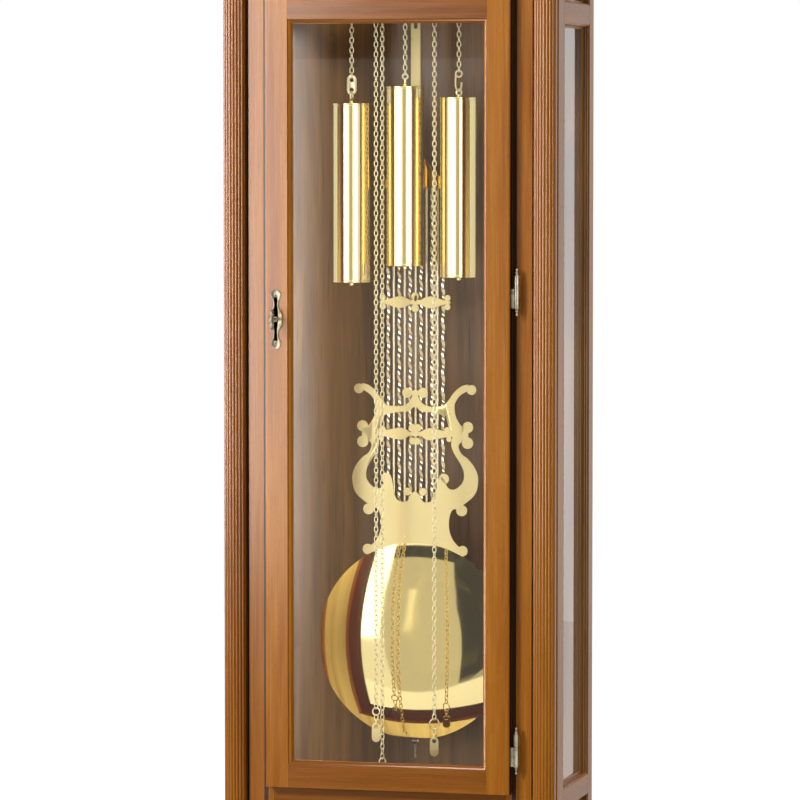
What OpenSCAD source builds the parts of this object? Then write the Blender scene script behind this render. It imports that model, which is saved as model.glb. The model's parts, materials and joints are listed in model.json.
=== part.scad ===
// Longcase clock: a glazed case with three chain-hung weights and a lyre pendulum.
// Millimetres, +Z up, front towards -Y, origin on the floor at the centre of the footprint.

/* [Case] */
// Width of the case across the outer faces of its corner posts
case_w = 433; // [415:1:470]
// Depth of the case from the face frame to its rear edge
case_d = 228; // [222:1:250]
// Thickness of the side frames
side_t = 20; // [17:0.5:24]
// Thickness of the face frame
face_t = 18; // [15:0.5:20]
// How far plinth and cornice stand out at each side
overhang_side = 28; // [20:1:40]
// How far plinth and cornice stand out in front of the face frame
overhang_front = 43; // [41:1:60]
// Height of the plinth
plinth_h = 110; // [80:1:130]
// Height of the rail above the plinth
base_rail_h = 40; // [30:1:60]
// Height of the face frame above the door
top_rail_h = 38; // [30:1:60]
// Height of the cornice
cornice_h = 100; // [80:1:140]
// Thickness of the loose boards: panels, back, floor and top
board_t = 8; // [6:0.5:10]
// Setback of the back panel from the rear edge
back_inset = 8; // [4:1:14]

/* [Corner posts] */
// Width of each reeded post
post_w = 28; // [24:1:32]
// How far the post's face bulges
post_rise = 5.5; // [4:0.5:8]
// Number of reeds on each post
post_reeds = 7; // [5:1:9]
// Width of the dark groove beside a post
post_gap = 3; // [2:0.5:5]

/* [Side frames] */
// Width of the front stile of a side frame
side_front_stile = 36.5; // [28:0.5:45]
// Width of the rear stile of a side frame
side_rear_stile = 26; // [20:0.5:34]
// Height of the two rails between the side openings
side_rail_h = 25; // [18:0.5:34]
// Width of the moulding round a side opening
side_bead_w = 5.5; // [4:0.5:8]
// Depth of the side windows' glass behind the outer face
side_recess = 10; // [10:0.5:12]
// Thickness of the window glass
glass_t = 3; // [2.5:0.25:4]

/* [Door] */
// Height of the door's lower edge above the floor
door_z = 448.5; // [435:0.5:480]
// Width of the door
door_w = 320; // [310:1:326]
// Thickness of the door
door_t = 14; // [13:0.5:16]
// Gap between the closed door and the face frame
door_gap = 1; // [0.8:0.1:1.4]
// Width of the door stiles
door_stile_w = 30; // [26:0.5:36]
// Height of the door's top and bottom rails
door_rail_h = 29.5; // [24:0.5:40]
// Height of the trunk opening
trunk_open_h = 950.5; // [900:0.5:980]
// Height of the rail between the two openings
mid_rail_h = 23.5; // [18:0.5:30]
// Height of the dial opening
dial_open_h = 260.5; // [240:0.5:290]
// Width of the moulding that holds the glass
door_bead_w = 5.6; // [4:0.1:8]
// How far the door laps over the face frame
door_lap = 8; // [6:0.5:9]

/* [Hinges and lock] */
// Radius of a hinge barrel
hinge_r = 3.25; // [3:0.05:3.6]
// Radius of the hinge pin
hinge_pin_r = 1.3; // [1.1:0.05:1.5]
// Running clearance round pins, arbors and the key
pin_clear = 0.06; // [0.03:0.01:0.1]
// Length of the upper, fixed knuckle
knuckle_top_h = 15; // [12:0.5:20]
// Length of the lower knuckle, on the door
knuckle_low_h = 25.5; // [20:0.5:32]
// Distance from the door's edge to the hinge axis
hinge_offset = 7.6; // [7.2:0.1:8.4]
// Height of the first hinge above the door's lower edge
hinge_z1 = 61; // [50:0.5:90]
// Height of the middle hinge above the door's lower edge
hinge_z2 = 641.5; // [560:0.5:700]
// Height of the key above the door's lower edge
lock_z = 599.5; // [500:0.5:700]
// Height of the keyhole plate
escutcheon_h = 76; // [66:1:84]
// Radius of the key's stem
key_r = 1.8; // [1.5:0.1:2.2]
// How far the key stands out of the door
key_reach = 26; // [22:0.5:27]

/* [Weights and chains] */
// Distance of the weights' plane behind the face frame
weight_setback = 83.4; // [80:0.2:86]
// Diameter of a weight
weight_d = 48; // [42:0.5:48]
// Length of a weight
weight_h = 230; // [200:0.2:240]
// How far the left weight's lower end hangs below its wheel
weight_left_drop = 397.7; // [390:0.1:420]
// How far the centre weight's lower end hangs below its wheel
weight_mid_drop = 376; // [372:0.5:400]
// How far the right weight's lower end hangs below its wheel
weight_right_drop = 390; // [386:0.5:420]
// Distance of an outer weight from the centre line
weight_x = 70.8; // [68:0.2:74]
// Distance of an outer free chain from the centre line
free_chain_x = 38.6; // [38.4:0.1:39]
// Distance of the centre weight's free chain from the centre line
free_mid_x = 30.4; // [30.2:0.1:30.6]
// How far the ring of the left free chain hangs below its wheel
ring_left_drop = 953; // [930:1:970]
// How far the ring of the centre free chain hangs below its wheel
ring_mid_drop = 1018; // [990:1:1025]
// How far the ring of the right free chain hangs below its wheel
ring_right_drop = 967; // [930:1:985]
// Half thickness of a chain strand
chain_r = 2; // [1.6:0.1:2.2]
// Length of two chain links
chain_pitch = 12.7; // [10:0.1:16]

/* [Pendulum] */
// Distance of the pendulum's plane behind the face frame
pendulum_setback = 140.4; // [138:0.2:142]
// Height of the suspension spring's bend above the seat board
pivot_lift = 167; // [162:0.5:172]
// Distance from the bend down to the bob's centre
bob_drop = 1001; // [985:1:1006]
// Diameter of the bob
bob_d = 256.5; // [220:0.5:258]
// How far the bob's face bulges
bob_rise = 11.3; // [9:0.1:17]
// Width of the strip that carries the pendulum's grid
strip_w = 12.7; // [10:0.1:16]
// Thickness of the pendulum's brass plates
plate_t = 1.6; // [1.2:0.1:1.7]
// Spacing of neighbouring grid rods
rod_pitch = 7.3; // [7:0.1:7.5]
// Diameter of the plain grid rods
plain_rod_d = 3.5; // [3:0.1:4]
// Diameter of the twisted grid rods
twist_rod_d = 5; // [4.4:0.1:5.2]
// Height of the grid above the bob's centre
grid_top = 588; // [580:1:600]
// Height of the cross bar above the bob's centre
cross_bar_z = 441; // [400:1:500]
// Radius of the rating rod
rating_r = 1.3; // [1.1:0.1:1.6]
// How far the rating rod reaches below the bob
rating_reach = 25; // [22:1:30]

/* [Movement and dial] */
// Thickness of the seat board
seat_t = 18; // [15:1:20]
// Height of the seat board's top above the door's middle rail
seat_lift = 6; // [4:0.5:8]
// Width of the movement plates
move_w = 170; // [164:1:180]
// Height of the movement plates
move_h = 196; // [190:1:206]
// Thickness of the movement plates
move_plate_t = 3; // [2.5:0.25:3.5]
// Radius of the arbors
arbor_r = 1.5; // [1.3:0.1:1.8]
// Height of the chain wheels above the seat board
chain_wheel_z = 32; // [26:1:36]
// Width and height of the dial plate
dial_w = 270; // [262:1:280]
// Outer diameter of the chapter ring
ring_d = 238; // [220:1:244]
// Width of the chapter ring
ring_w = 34; // [28:1:40]
// Length of the minute hand
minute_len = 98; // [85:1:104]
// Length of the hour hand
hour_len = 68; // [55:1:74]
// Number of chime rods
chime_count = 8; // [5:1:9]
// Length of the longest chime rod
chime_len = 240; // [200:1:244]

/* [Hidden] */
$fn = 48;

// Levels along Y, from the rear edge forwards
rear_y = (case_d + overhang_front) / 2;
front_y = -rear_y;
face_y = rear_y - case_d;
door_back = face_y - door_gap;
door_front = door_back - door_t;
face_back = face_y + face_t;
post_rear = face_y + 3;
side_y0 = post_rear + 8.5;
win_y0 = side_y0 + side_front_stile;
win_y1 = rear_y - side_rear_stile;
back_y0 = rear_y - back_inset - board_t;
weight_y = face_y + weight_setback;
pend_y = face_y + pendulum_setback;

// Levels along X
case_x = case_w / 2;
inner_x = case_x - side_t;
pane_x = case_x - side_recess - glass_t;
post_x = case_x - post_w;
door_x = door_w / 2;
sight_x = door_x - door_stile_w;
open_x = door_x - door_lap;
hinge_x = door_x + hinge_offset;
hinge_y = door_front + door_t / 2 - 0.5;
lock_x = -(door_x - door_stile_w / 2);

// Levels along Z
trunk_z0 = door_z + door_rail_h;
trunk_z1 = trunk_z0 + trunk_open_h;
dial_z0 = trunk_z1 + mid_rail_h;
dial_z1 = dial_z0 + dial_open_h;
door_z1 = dial_z1 + door_rail_h;
case_z1 = door_z1 + top_rail_h;
total_h = case_z1 + cornice_h;
base_z0 = plinth_h + base_rail_h;
base_z1 = door_z - side_rail_h;
hood_z0 = trunk_z1 + side_rail_h - 5;
seat_z = dial_z0 + seat_lift;
dial_z = (dial_z0 + dial_z1) / 2;
pivot_z = seat_z + pivot_lift;
bob_z = pivot_z - bob_drop;
bob_top = bob_z + bob_d / 2;
bob_low = bob_z - bob_d / 2;
key_z = door_z + lock_z;
wheel_z = seat_z + chain_wheel_z;
weight_zs = [wheel_z - weight_left_drop, wheel_z - weight_mid_drop, wheel_z - weight_right_drop];
hinge_zs = [door_z + hinge_z1, door_z + hinge_z2, door_z1 - hinge_z1];

// Movement plates along Y, and the dial in front of them
move_y0 = weight_y - 29;
move_y1 = weight_y + 22;
dial_y = face_back + 5;
ring_y = dial_y - 1.5;

wood = "#8a5a2a";
brass = "#d8b84e";

// A box between two corners
module block(x0, x1, y0, y1, z0, z1) {
    translate([x0, y0, z0])
        cube([x1 - x0, y1 - y0, z1 - z0]);
}

// A shape and its mirror image across the clock's centre plane
module both() {
    children();
    mirror([1, 0, 0])
        children();
}

// A shape drawn in X and Z, filled from y0 to y1
module along_y(y0, y1) {
    translate([0, y1, 0])
        rotate([90, 0, 0])
            linear_extrude(y1 - y0)
                children();
}

// A shape drawn in Y and Z, filled from x0 to x1
module along_x(x0, x1) {
    translate([x0, 0, 0])
        rotate([90, 0, 90])
            linear_extrude(x1 - x0)
                children();
}

// A round rod along Y
module rod_y(x, z, r, y0, y1) {
    translate([x, y1, z])
        rotate([90, 0, 0])
            cylinder(r = r, h = y1 - y0);
}

// A round rod along X
module rod_x(y, z, r, x0, x1) {
    translate([x0, y, z])
        rotate([0, 90, 0])
            cylinder(r = r, h = x1 - x0);
}

// A curve through a list of points
function blend(a, b, c, d, t) = 0.5 * (2 * b + (c - a) * t + (2 * a - 5 * b + 4 * c - d) * t * t
    + (3 * b - a - 3 * c + d) * t * t * t);
function smooth(p, n = 4) = concat([for (i = [0:len(p) - 2], k = [0:n - 1])
    blend(p[max(i - 1, 0)], p[i], p[i + 1], p[min(i + 2, len(p) - 1)], k / n)], [p[len(p) - 1]]);

// An arc of points round a centre
function arc(cx, cy, r, a0, a1, n = 6) = [for (i = [0:n]) let (a = a0 + (a1 - a0) * i / n)
    [cx + r * cos(a), cy + r * sin(a)]];

// Mouldings given as [stand-out, height] from a case's face, mitred round front and sides
module moulded(profile) {
    n = len(profile) - 1;
    intersection() {
        along_x(-case_x - 200, case_x + 200)
            polygon(concat([[rear_y, profile[0][1]]],
                [for (p = profile) [face_y - p[0] * overhang_front, p[1]]],
                [[rear_y, profile[n][1]]]));
        along_y(front_y - 10, rear_y)
            polygon(concat([for (p = profile) [case_x + p[0] * overhang_side, p[1]]],
                [for (i = [n:-1:0]) [-case_x - profile[i][0] * overhang_side, profile[i][1]]]));
    }
}

// One straight, mitred length of a moulding: u points inwards and v goes in from the front
module bead_bar(len_u, half_v, prof, reach, depth) {
    intersection() {
        translate([-len_u / 2, -half_v, 0])
            rotate([90, 0, 90])
                linear_extrude(len_u)
                    polygon(prof);
        linear_extrude(depth)
            polygon([[-len_u / 2, -half_v], [len_u / 2, -half_v],
                [len_u / 2 - reach, -half_v + reach], [-len_u / 2 + reach, -half_v + reach]]);
    }
}

// Moulding round a whole w by h opening, seen from the front, depth along +Z
module bead_ring(w, h, prof, reach, depth) {
    for (k = [0:3])
        rotate(90 * k)
            bead_bar(k % 2 == 0 ? w : h, (k % 2 == 0 ? h : w) / 2, prof, reach, depth);
}

// Plinth: a hollow box with an ogee moulding on top
plinth_wall = 20;
module plinth() {
    h = plinth_h;
    color(wood)
        difference() {
            moulded(concat([[1, 0], [1, h - 34], [0.93, h - 32]],
                [for (p = arc(0.93, 0, 1, 0, 90, 6)) [0.93 - 0.38 * (1 - cos(90 * (p[1]))),
                    h - 32 + 14 * p[1]]],
                [[0.48, h - 16], [0.48, h - 12]],
                [for (i = [0:5]) [0.42 - 0.26 * sin(15 * i), h - 12 + 9 * (1 - cos(18 * i))]],
                [[0.12, h - 2], [0.12, h]]));
            block(-case_x + 4, case_x - 4, face_y + 4, rear_y - plinth_wall, -1, h - 24);
            block(-inner_x, inner_x, face_back, back_y0, h - 30, h + 1);
        }
}

// Floor board, let into the plinth's top
module floor_board() {
    color(wood)
        block(-inner_x, inner_x, face_back, back_y0, plinth_h - board_t, plinth_h);
}

// Cornice: stacked mouldings that step outwards
module cornice() {
    z = case_z1;
    h = cornice_h;
    color(wood)
        difference() {
            moulded(concat([[0.1, z], [0.1, z + 5], [0.2, z + 5], [0.2, z + 11]],
                [for (i = [0:6]) [0.24 + 0.36 * (1 - cos(15 * i)), z + 13 + 0.34 * h * sin(15 * i)]],
                [[0.66, z + 0.34 * h + 13], [0.66, z + 0.34 * h + 21]],
                [for (i = [0:6]) [0.7 + 0.22 * sin(15 * i), z + 0.34 * h + 21
                    + 0.2 * h * (1 - cos(15 * i))]],
                [[1, z + 0.54 * h + 24], [1, z + h]]));
            block(-inner_x, inner_x, face_back, rear_y + 1, z - 1, z + h + 1);
        }
}

// Top board, resting inside the cornice above the side frames
module top_board() {
    color(wood)
        block(-inner_x, inner_x, face_back, back_y0, total_h - 3 - board_t, total_h - 3);
}

// Back panel
module back_panel() {
    color("#5b4632")
        block(-inner_x, inner_x, back_y0, back_y0 + board_t, plinth_h, total_h - 3);
}

// Face frame stiles, with a tongue behind each post
module face_stiles() {
    color(wood)
        both()
            translate([0, 0, plinth_h])
                linear_extrude(case_z1 - plinth_h)
                    polygon([[open_x, face_y], [post_x - post_gap, face_y],
                        [post_x - post_gap, post_rear], [case_x - 8, post_rear],
                        [case_x - 8, side_y0], [inner_x, side_y0], [inner_x, face_back],
                        [open_x, face_back]]);
}

// Face frame rails: above the plinth, under the door and above the door
module face_rails() {
    color(wood) {
        block(-open_x, open_x, face_y, face_back, plinth_h, base_z0);
        block(-open_x, open_x, face_y, face_back, base_z1 - 15, door_z + door_lap);
        block(-open_x, open_x, face_y, face_back, door_z1 - door_lap, case_z1);
    }
}

// Raised panel below the door
module base_panel() {
    margin = 24;
    field_y = face_y + 8;
    z0 = base_z0;
    z1 = base_z1 - 15;
    color(wood) {
        block(-open_x, open_x, field_y, field_y + board_t, z0, z1);
        translate([0, 0, z0 + margin])
            linear_extrude(z1 - z0 - 2 * margin)
                polygon([[margin - open_x, field_y + 1], [margin - open_x, field_y],
                    [margin + 3 - open_x, field_y - 6], [open_x - margin - 3, field_y - 6],
                    [open_x - margin, field_y], [open_x - margin, field_y + 1]]);
    }
}

// Reeded corner posts
module post_profile() {
    r = (post_w * post_w / 4 + post_rise * post_rise) / (2 * post_rise);
    cx = case_x - post_w / 2;
    cy = face_y - 13 + r;
    half = asin(post_w / 2 / r);
    pitch = 2 * half / post_reeds;
    reed_r = r * sin(pitch / 2) * 1.06;
    for (i = [0:post_reeds - 1])
        let (a = -half + pitch * (i + 0.5))
            translate([cx + (r - reed_r) * sin(a), cy - (r - reed_r) * cos(a)])
                circle(reed_r);
    polygon(concat([[case_x, post_rear], [post_x, post_rear]],
        arc(cx, cy, r - reed_r, 270 - half, 270 + half, 2 * post_reeds)));
    translate([post_x, post_rear - 9])
        square([post_w, 9]);
}

module corner_posts() {
    color(wood)
        both()
            translate([0, 0, plinth_h])
                linear_extrude(case_z1 - plinth_h)
                    post_profile();
}

// Side frames: stiles and the rails between them
module side_stiles() {
    color(wood)
        both() {
            block(inner_x, case_x, side_y0, win_y0, plinth_h, case_z1);
            block(inner_x, case_x, win_y1, rear_y, plinth_h, case_z1);
        }
}

module side_rails() {
    color(wood)
        both() {
            block(inner_x, case_x, win_y0, win_y1, plinth_h, base_z0);
            block(inner_x, case_x, win_y0, win_y1, base_z1, door_z);
            block(inner_x, case_x, win_y0, win_y1, trunk_z1 - 5, hood_z0);
            block(inner_x, case_x, win_y0, win_y1, dial_z1 + 30, case_z1);
        }
}

// The three openings in a side, as [low z, high z]
side_openings = [[base_z0, base_z1], [door_z, trunk_z1 - 5], [hood_z0, dial_z1 + 30]];

// Reeded moulding inside each side opening
module side_beads() {
    w = side_bead_w;
    d = side_recess;
    prof = concat([[0, 0.9]], arc(0.4, 2.3, 1.4, 270, 440, 6), arc(1, 5.1, 1.5, 290, 440, 6),
        [[2, 6.9], [2.3, 7.9], [3, 8.6], [w - 0.8, 8.9], [w, 9.3], [w, d], [0, d]]);
    color(wood)
        both()
            for (o = side_openings)
                translate([-case_x, (win_y0 + win_y1) / 2, (o[0] + o[1]) / 2])
                    rotate([90, 0, 90])
                        bead_ring(win_y1 - win_y0, o[1] - o[0], prof, w + 1, d);
}

// Side windows of trunk and hood
module side_glass() {
    color("#c8d4d4", 0.4)
        both()
            for (o = [side_openings[1], side_openings[2]])
                block(pane_x, pane_x + glass_t, win_y0 + 0.3, win_y1 - 0.3, o[0] + 0.3, o[1] - 0.3);
}

// Panels below the side windows
module side_panels() {
    color(wood)
        both() {
            block(pane_x, pane_x + glass_t, win_y0, win_y1, base_z0, base_z1);
        }
}

// Seat board that carries the movement, with a slot for each chain
chains = [[-weight_x, -free_chain_x], [0, -free_mid_x], [weight_x, free_chain_x]];
module seat_board() {
    slot_r = chain_r + 4;
    color(wood)
        difference() {
            block(-inner_x, inner_x, move_y0 - 14, move_y1 + 10, seat_z - seat_t, seat_z);
            for (c = chains) {
                for (x = c)
                    translate([x, weight_y, seat_z - seat_t - 1])
                        cylinder(r = slot_r, h = seat_t + 2);
                block(min(c), max(c), weight_y - slot_r, weight_y + slot_r,
                    seat_z - seat_t - 1, seat_z + 1);
            }
            block(-16, 16, crutch_y - 2, move_y1 + 11, seat_z - seat_t - 1, seat_z + 1);
        }
}

// Hinges: the fixed leaf has the upper knuckle, the pin and both finials
leaf_t = 1.2;
module finial(z, up) {
    translate([hinge_x, hinge_y, z])
        mirror([0, 0, up ? 0 : 1])
            rotate_extrude()
                polygon(concat([[0, 0], [hinge_r, 0], [hinge_r, 0.8], [1.9, 1.5], [1.7, 2.6],
                    [hinge_r - 0.6, 3.2], [hinge_r - 0.6, 4], [1.3, 4.8], [1.2, 5.8]],
                    arc(0, 8, 2, -50, 90, 8)));
}

module hinge_leaves_case() {
    color(brass)
        for (z = hinge_zs) {
            translate([hinge_x, hinge_y, z + 0.25])
                cylinder(r = hinge_r, h = knuckle_top_h);
            translate([hinge_x, hinge_y, z - knuckle_low_h - 2])
                cylinder(r = hinge_pin_r, h = knuckle_low_h + 4);
            finial(z + 0.25 + knuckle_top_h, true);
            finial(z - knuckle_low_h - 0.25, false);
            block(hinge_x - 1, hinge_x + 1, hinge_y + 1, face_y, z + 1, z + knuckle_top_h);
            block(hinge_x - 5.6, hinge_x + 2.4, face_y - leaf_t + 0.4, face_y,
                z - knuckle_low_h, z + knuckle_top_h);
        }
}

// The swinging leaf has the lower knuckle and lies on the door's edge
module hinge_leaves_door() {
    color(brass)
        for (z = hinge_zs)
            difference() {
                union() {
                    translate([hinge_x, hinge_y, z - knuckle_low_h])
                        cylinder(r = hinge_r, h = knuckle_low_h);
                    block(door_x, hinge_x - 1, hinge_y - 0.7, hinge_y + 0.7, z - knuckle_low_h, z - 1);
                    block(door_x, door_x + leaf_t, hinge_y - 0.7, door_back - 1,
                        z - knuckle_low_h, z - 1);
                }
                translate([hinge_x, hinge_y, z - knuckle_low_h - 3])
                    cylinder(r = hinge_pin_r + pin_clear, h = knuckle_low_h + 6);
            }
}

// Movement frame
module movement_plates() {
    color(brass)
        difference() {
            for (y = [move_y0 - move_plate_t, move_y1])
                block(-move_w / 2, move_w / 2, y, y + move_plate_t, seat_z, seat_z + move_h);
            for (c = chains)
                rod_y((c[0] + c[1]) / 2, wheel_z, arbor_r + pin_clear, move_y0 - 10, move_y1 + 10);
            rod_y(0, dial_z, arbor_r + pin_clear, move_y0 - 10, move_y1 + 10);
            rod_y(0, pivot_z, arbor_r + pin_clear, move_y0 - 10, move_y1 + 10);
            rod_y(0, escape_z, arbor_r + pin_clear, move_y0 - 10, move_y1 + 10);
        }
}

pillar_r = 4;
pillar_inset = 6;
module pillars() {
    color(brass)
        for (x = [pillar_inset - move_w / 2, move_w / 2 - pillar_inset],
            z = [seat_z + 10, seat_z + move_h - 10]) {
            rod_y(x, z, pillar_r, move_y0, move_y1);
            rod_y(x, z, pillar_r + 1.5, move_y0 + 3, move_y0 + 6);
            rod_y(x, z, pillar_r + 1.5, move_y1 - 6, move_y1 - 3);
        }
}

// Cock on the back plate, which holds the suspension spring
cock_x = 24;
hammer_y = move_y1 + 12;
hammer_z = pivot_z + 22;
module suspension_cock() {
    y0 = move_y1 + move_plate_t;
    color(brass) {
        both()
            difference() {
                union() {
                    block(cock_x - 3, cock_x, y0, pend_y + 6, pivot_z + 1, pivot_z + 13);
                    block(cock_x - 3, cock_x + 6, y0, y0 + 3, pivot_z - 6, pivot_z + 24);
                }
                rod_y(cock_x + 2, pivot_z + 8, 1.4, y0 - 1, y0 + 4);
            }
        block(-cock_x, cock_x, pend_y - 4, pend_y + 6, pivot_z + 1, pivot_z + 13);
    }
}

// Dial plate with four feet that stand on the front movement plate
dial_foot_x = 62;
dial_foot_top = 38;
module dial_plate() {
    color("#e9dfc4")
        difference() {
            union() {
                block(-dial_w / 2, dial_w / 2, dial_y, dial_y + 2, dial_z - dial_w / 2,
                    dial_z + dial_w / 2);
                for (x = [-dial_foot_x, dial_foot_x], z = [-dial_foot_x, dial_foot_top])
                    rod_y(x, dial_z + z, 3, dial_y + 1, move_y0 - move_plate_t);
            }
            rod_y(0, dial_z, hour_r + pin_clear, dial_y - 1, dial_y + 5);
        }
}

// Chapter ring
module chapter_ring() {
    color("#efe9d6")
        difference() {
            rod_y(0, dial_z, ring_d / 2, ring_y, dial_y);
            rod_y(0, dial_z, ring_d / 2 - ring_w, ring_y - 1, dial_y + 1);
        }
}

// Hour marks made of plain strokes: each list gives a numeral's strokes as [foot, head] places
strokes = [[[0, 0]], [[-2, -2], [2, 2]], [[-4, -4], [0, 0], [4, 4]], [[-6, -6], [0, -3.4], [6, -3.4]],
    [[0, -3.4], [0, 3.4]], [[-2, -5.4], [-2, 1.4], [6, 6]], [[-4, -7.4], [-4, -0.6], [4, 4], [8, 8]],
    [[-6, -9.4], [-6, -2.6], [2, 2], [6, 6], [10, 10]], [[-5, -5], [-1, 5], [5, -1]],
    [[-3, 3], [3, -3]], [[-5, 1], [1, -5], [5, 5]], [[-7, -1], [-1, -7], [3, 3], [7, 7]]];
numeral_h = 20;
module numerals() {
    mid_r = ring_d / 2 - ring_w / 2 - 1.5;
    color("#20150c")
        along_y(ring_y - 0.4, ring_y)
            translate([0, dial_z])
                for (i = [0:11])
                    rotate(-30 * (i + 1))
                        translate([0, mid_r]) {
                            for (s = strokes[i])
                                polygon([[s[0] - 0.8, -numeral_h / 2], [s[0] + 0.8, -numeral_h / 2],
                                    [s[1] + 0.8, numeral_h / 2], [s[1] - 0.8, numeral_h / 2]]);
                            translate([-0.6, numeral_h / 2 + 2])
                                square([1.2, 3]);
                        }
}

// Chime block on the back panel and its hanging rods
chime_z = pivot_z + 62;
chime_y = back_y0 - 20;
chime_step = 8;
chime_x0 = cock_x + 14;
module chime_block() {
    color("#3a3a3c") {
        block(chime_x0 - 8, chime_x0 + chime_step * (chime_count - 1) + 8, chime_y - 6, chime_y + 6,
            chime_z, chime_z + 16);
        block(chime_x0 + 6, chime_x0 + chime_step * (chime_count - 1) - 6, chime_y + 6, back_y0,
            chime_z - 8, chime_z + 24);
    }
}

module chime_rods() {
    color("#c9a94a")
        for (i = [0:chime_count - 1])
            translate([chime_x0 + chime_step * i, chime_y, chime_z - chime_len + 14 * i])
                cylinder(r = 1.5, h = chime_len - 14 * i);
}

// Bracket on the back plate with an ear at each end of the hammers' shaft
hammer_x0 = chime_x0 - 6;
hammer_x1 = chime_x0 + 4 * chime_step + 6;
module hammer_bracket() {
    y0 = move_y1 + move_plate_t;
    color(brass)
        difference() {
            union() {
                block(hammer_x0 - 2, hammer_x1 + 2, y0, y0 + 2, hammer_z - 7, hammer_z + 5);
                for (x = [hammer_x0 - 2, hammer_x1])
                    block(x, x + 2, y0, hammer_y + 4, hammer_z - 5, hammer_z + 5);
            }
            rod_x(hammer_y, hammer_z, arbor_r + pin_clear, hammer_x0 - 3, hammer_x1 + 3);
        }
}

// Three hammers on one shaft, which lift together to strike
module hammers() {
    head_y = chime_y - 1.5 - 1;
    head_z = chime_z - 14;
    color("#b79a4c") {
        rod_x(hammer_y, hammer_z, arbor_r, hammer_x0 - 1.8, hammer_x1 + 1.8);
        for (i = [0:2])
            let (x = chime_x0 + chime_step * (2 * i)) {
                along_x(x - 1, x + 1)
                    polygon([[hammer_y - 3, hammer_z - 3], [hammer_y + 3, hammer_z - 3],
                        [head_y - 6, head_z - 6], [head_y - 6, head_z - 2], [hammer_y, hammer_z + 4],
                        [hammer_y - 3, hammer_z + 3]]);
                rod_y(x, head_z - 2, 4.5, head_y - 12, head_y);
            }
    }
}

// Door: stiles with the key's hole, rails, mouldings and glass
module door_stiles() {
    color(wood)
        difference() {
            both()
                translate([0, 0, door_z])
                    linear_extrude(door_z1 - door_z)
                        polygon(concat([[sight_x, door_back], [sight_x, door_front]],
                            arc(door_x - 3, door_front + 3, 3, -90, 0, 4), [[door_x, door_back]]));
            rod_y(lock_x, key_z, key_r + pin_clear, door_front - 1, door_back + 1);
        }
}

module door_rails() {
    color(wood)
        for (z = [[door_z, trunk_z0], [trunk_z1, dial_z0], [dial_z1, door_z1]])
            block(-sight_x, sight_x, door_front, door_back, z[0], z[1]);
}

bead_depth = 9;
module door_beads() {
    w = door_bead_w;
    prof = concat([[0, 0.8], [0.8, 0.8], [0.8, 1.6]], [for (i = [0:6]) [0.8 + (w - 1.6) * sin(15 * i),
        7.2 - 5.6 * cos(15 * i)]], [[w, 7.2], [w, bead_depth], [0, bead_depth]]);
    color(wood)
        for (o = [[trunk_z0, trunk_z1], [dial_z0, dial_z1]])
            translate([0, door_front, (o[0] + o[1]) / 2])
                mirror([0, 1, 0])
                    rotate([90, 0, 0])
                        bead_ring(2 * sight_x, o[1] - o[0], prof, w + 1, bead_depth);
}

module door_pane(z0, z1) {
    color("#c8d4d4", 0.3)
        block(-sight_x + 0.4, sight_x - 0.4, door_front + bead_depth, door_front + bead_depth + glass_t,
            z0 + 0.4, z1 - 0.4);
}

module door_glass_lower() {
    door_pane(trunk_z0, trunk_z1);
}

module door_glass_upper() {
    door_pane(dial_z0, dial_z1);
}

// Keyhole plate, lock, key and the tongue that the key turns
escutcheon_t = 1.6;
module escutcheon() {
    k = escutcheon_h / 76;
    half = smooth([[0, 38], [3.6, 37], [6.7, 32], [5.4, 26.5], [3.5, 22], [3.6, 15], [5.2, 11.5],
        [8, 7], [8, 0], [8, -7], [5.2, -11.5], [3.6, -15], [3.5, -22], [5.4, -26.5], [6.7, -32],
        [3.6, -37], [0, -38]] * k);
    color("#b8a58a")
        along_y(door_front - escutcheon_t, door_front)
            translate([lock_x, key_z])
                difference() {
                    union() {
                        polygon(half);
                        mirror([1, 0])
                            polygon(half);
                    }
                    circle(key_r + pin_clear);
                    for (z = [-30, 30] * k)
                        translate([0, z])
                            circle(1);
                }
}

lock_d = door_gap + face_t;
module lock_case() {
    color(brass)
        difference() {
            block(lock_x - 5.4, lock_x + 12, door_back, door_back + lock_d, key_z - 20, key_z + 20);
            rod_y(lock_x, key_z, key_r + pin_clear, door_back - 1, door_back + lock_d + 1);
        }
}

module key() {
    bow_r = 5.5;
    bow_y = door_front - key_reach + bow_r + 1;
    color("#a8977a") {
        rod_y(lock_x, key_z, key_r, bow_y + 3, door_back + lock_d + 4);
        rod_y(lock_x, key_z, 3, door_front - 5, door_front - escutcheon_t - 0.3);
        along_x(lock_x - 1.25, lock_x + 1.25)
            difference() {
                union()
                    for (k = [-1, 0, 1])
                        translate([bow_y + (k == 0 ? -1 : 0.5), key_z + 7 * k])
                            circle(bow_r);
                for (k = [-1, 1])
                    translate([bow_y + 0.5, key_z + 7 * k])
                        circle(bow_r / 2);
            }
    }
}

tongue_t = 2;
module latch_tongue() {
    y0 = door_back + lock_d + 0.5;
    color(brass)
        difference() {
            along_y(y0, y0 + tongue_t)
                translate([lock_x, key_z]) {
                    circle(4);
                    translate([-3, -20])
                        square([6, 20]);
                }
            rod_y(lock_x, key_z, key_r, y0 - 1, y0 + tongue_t + 1);
        }
}

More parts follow.
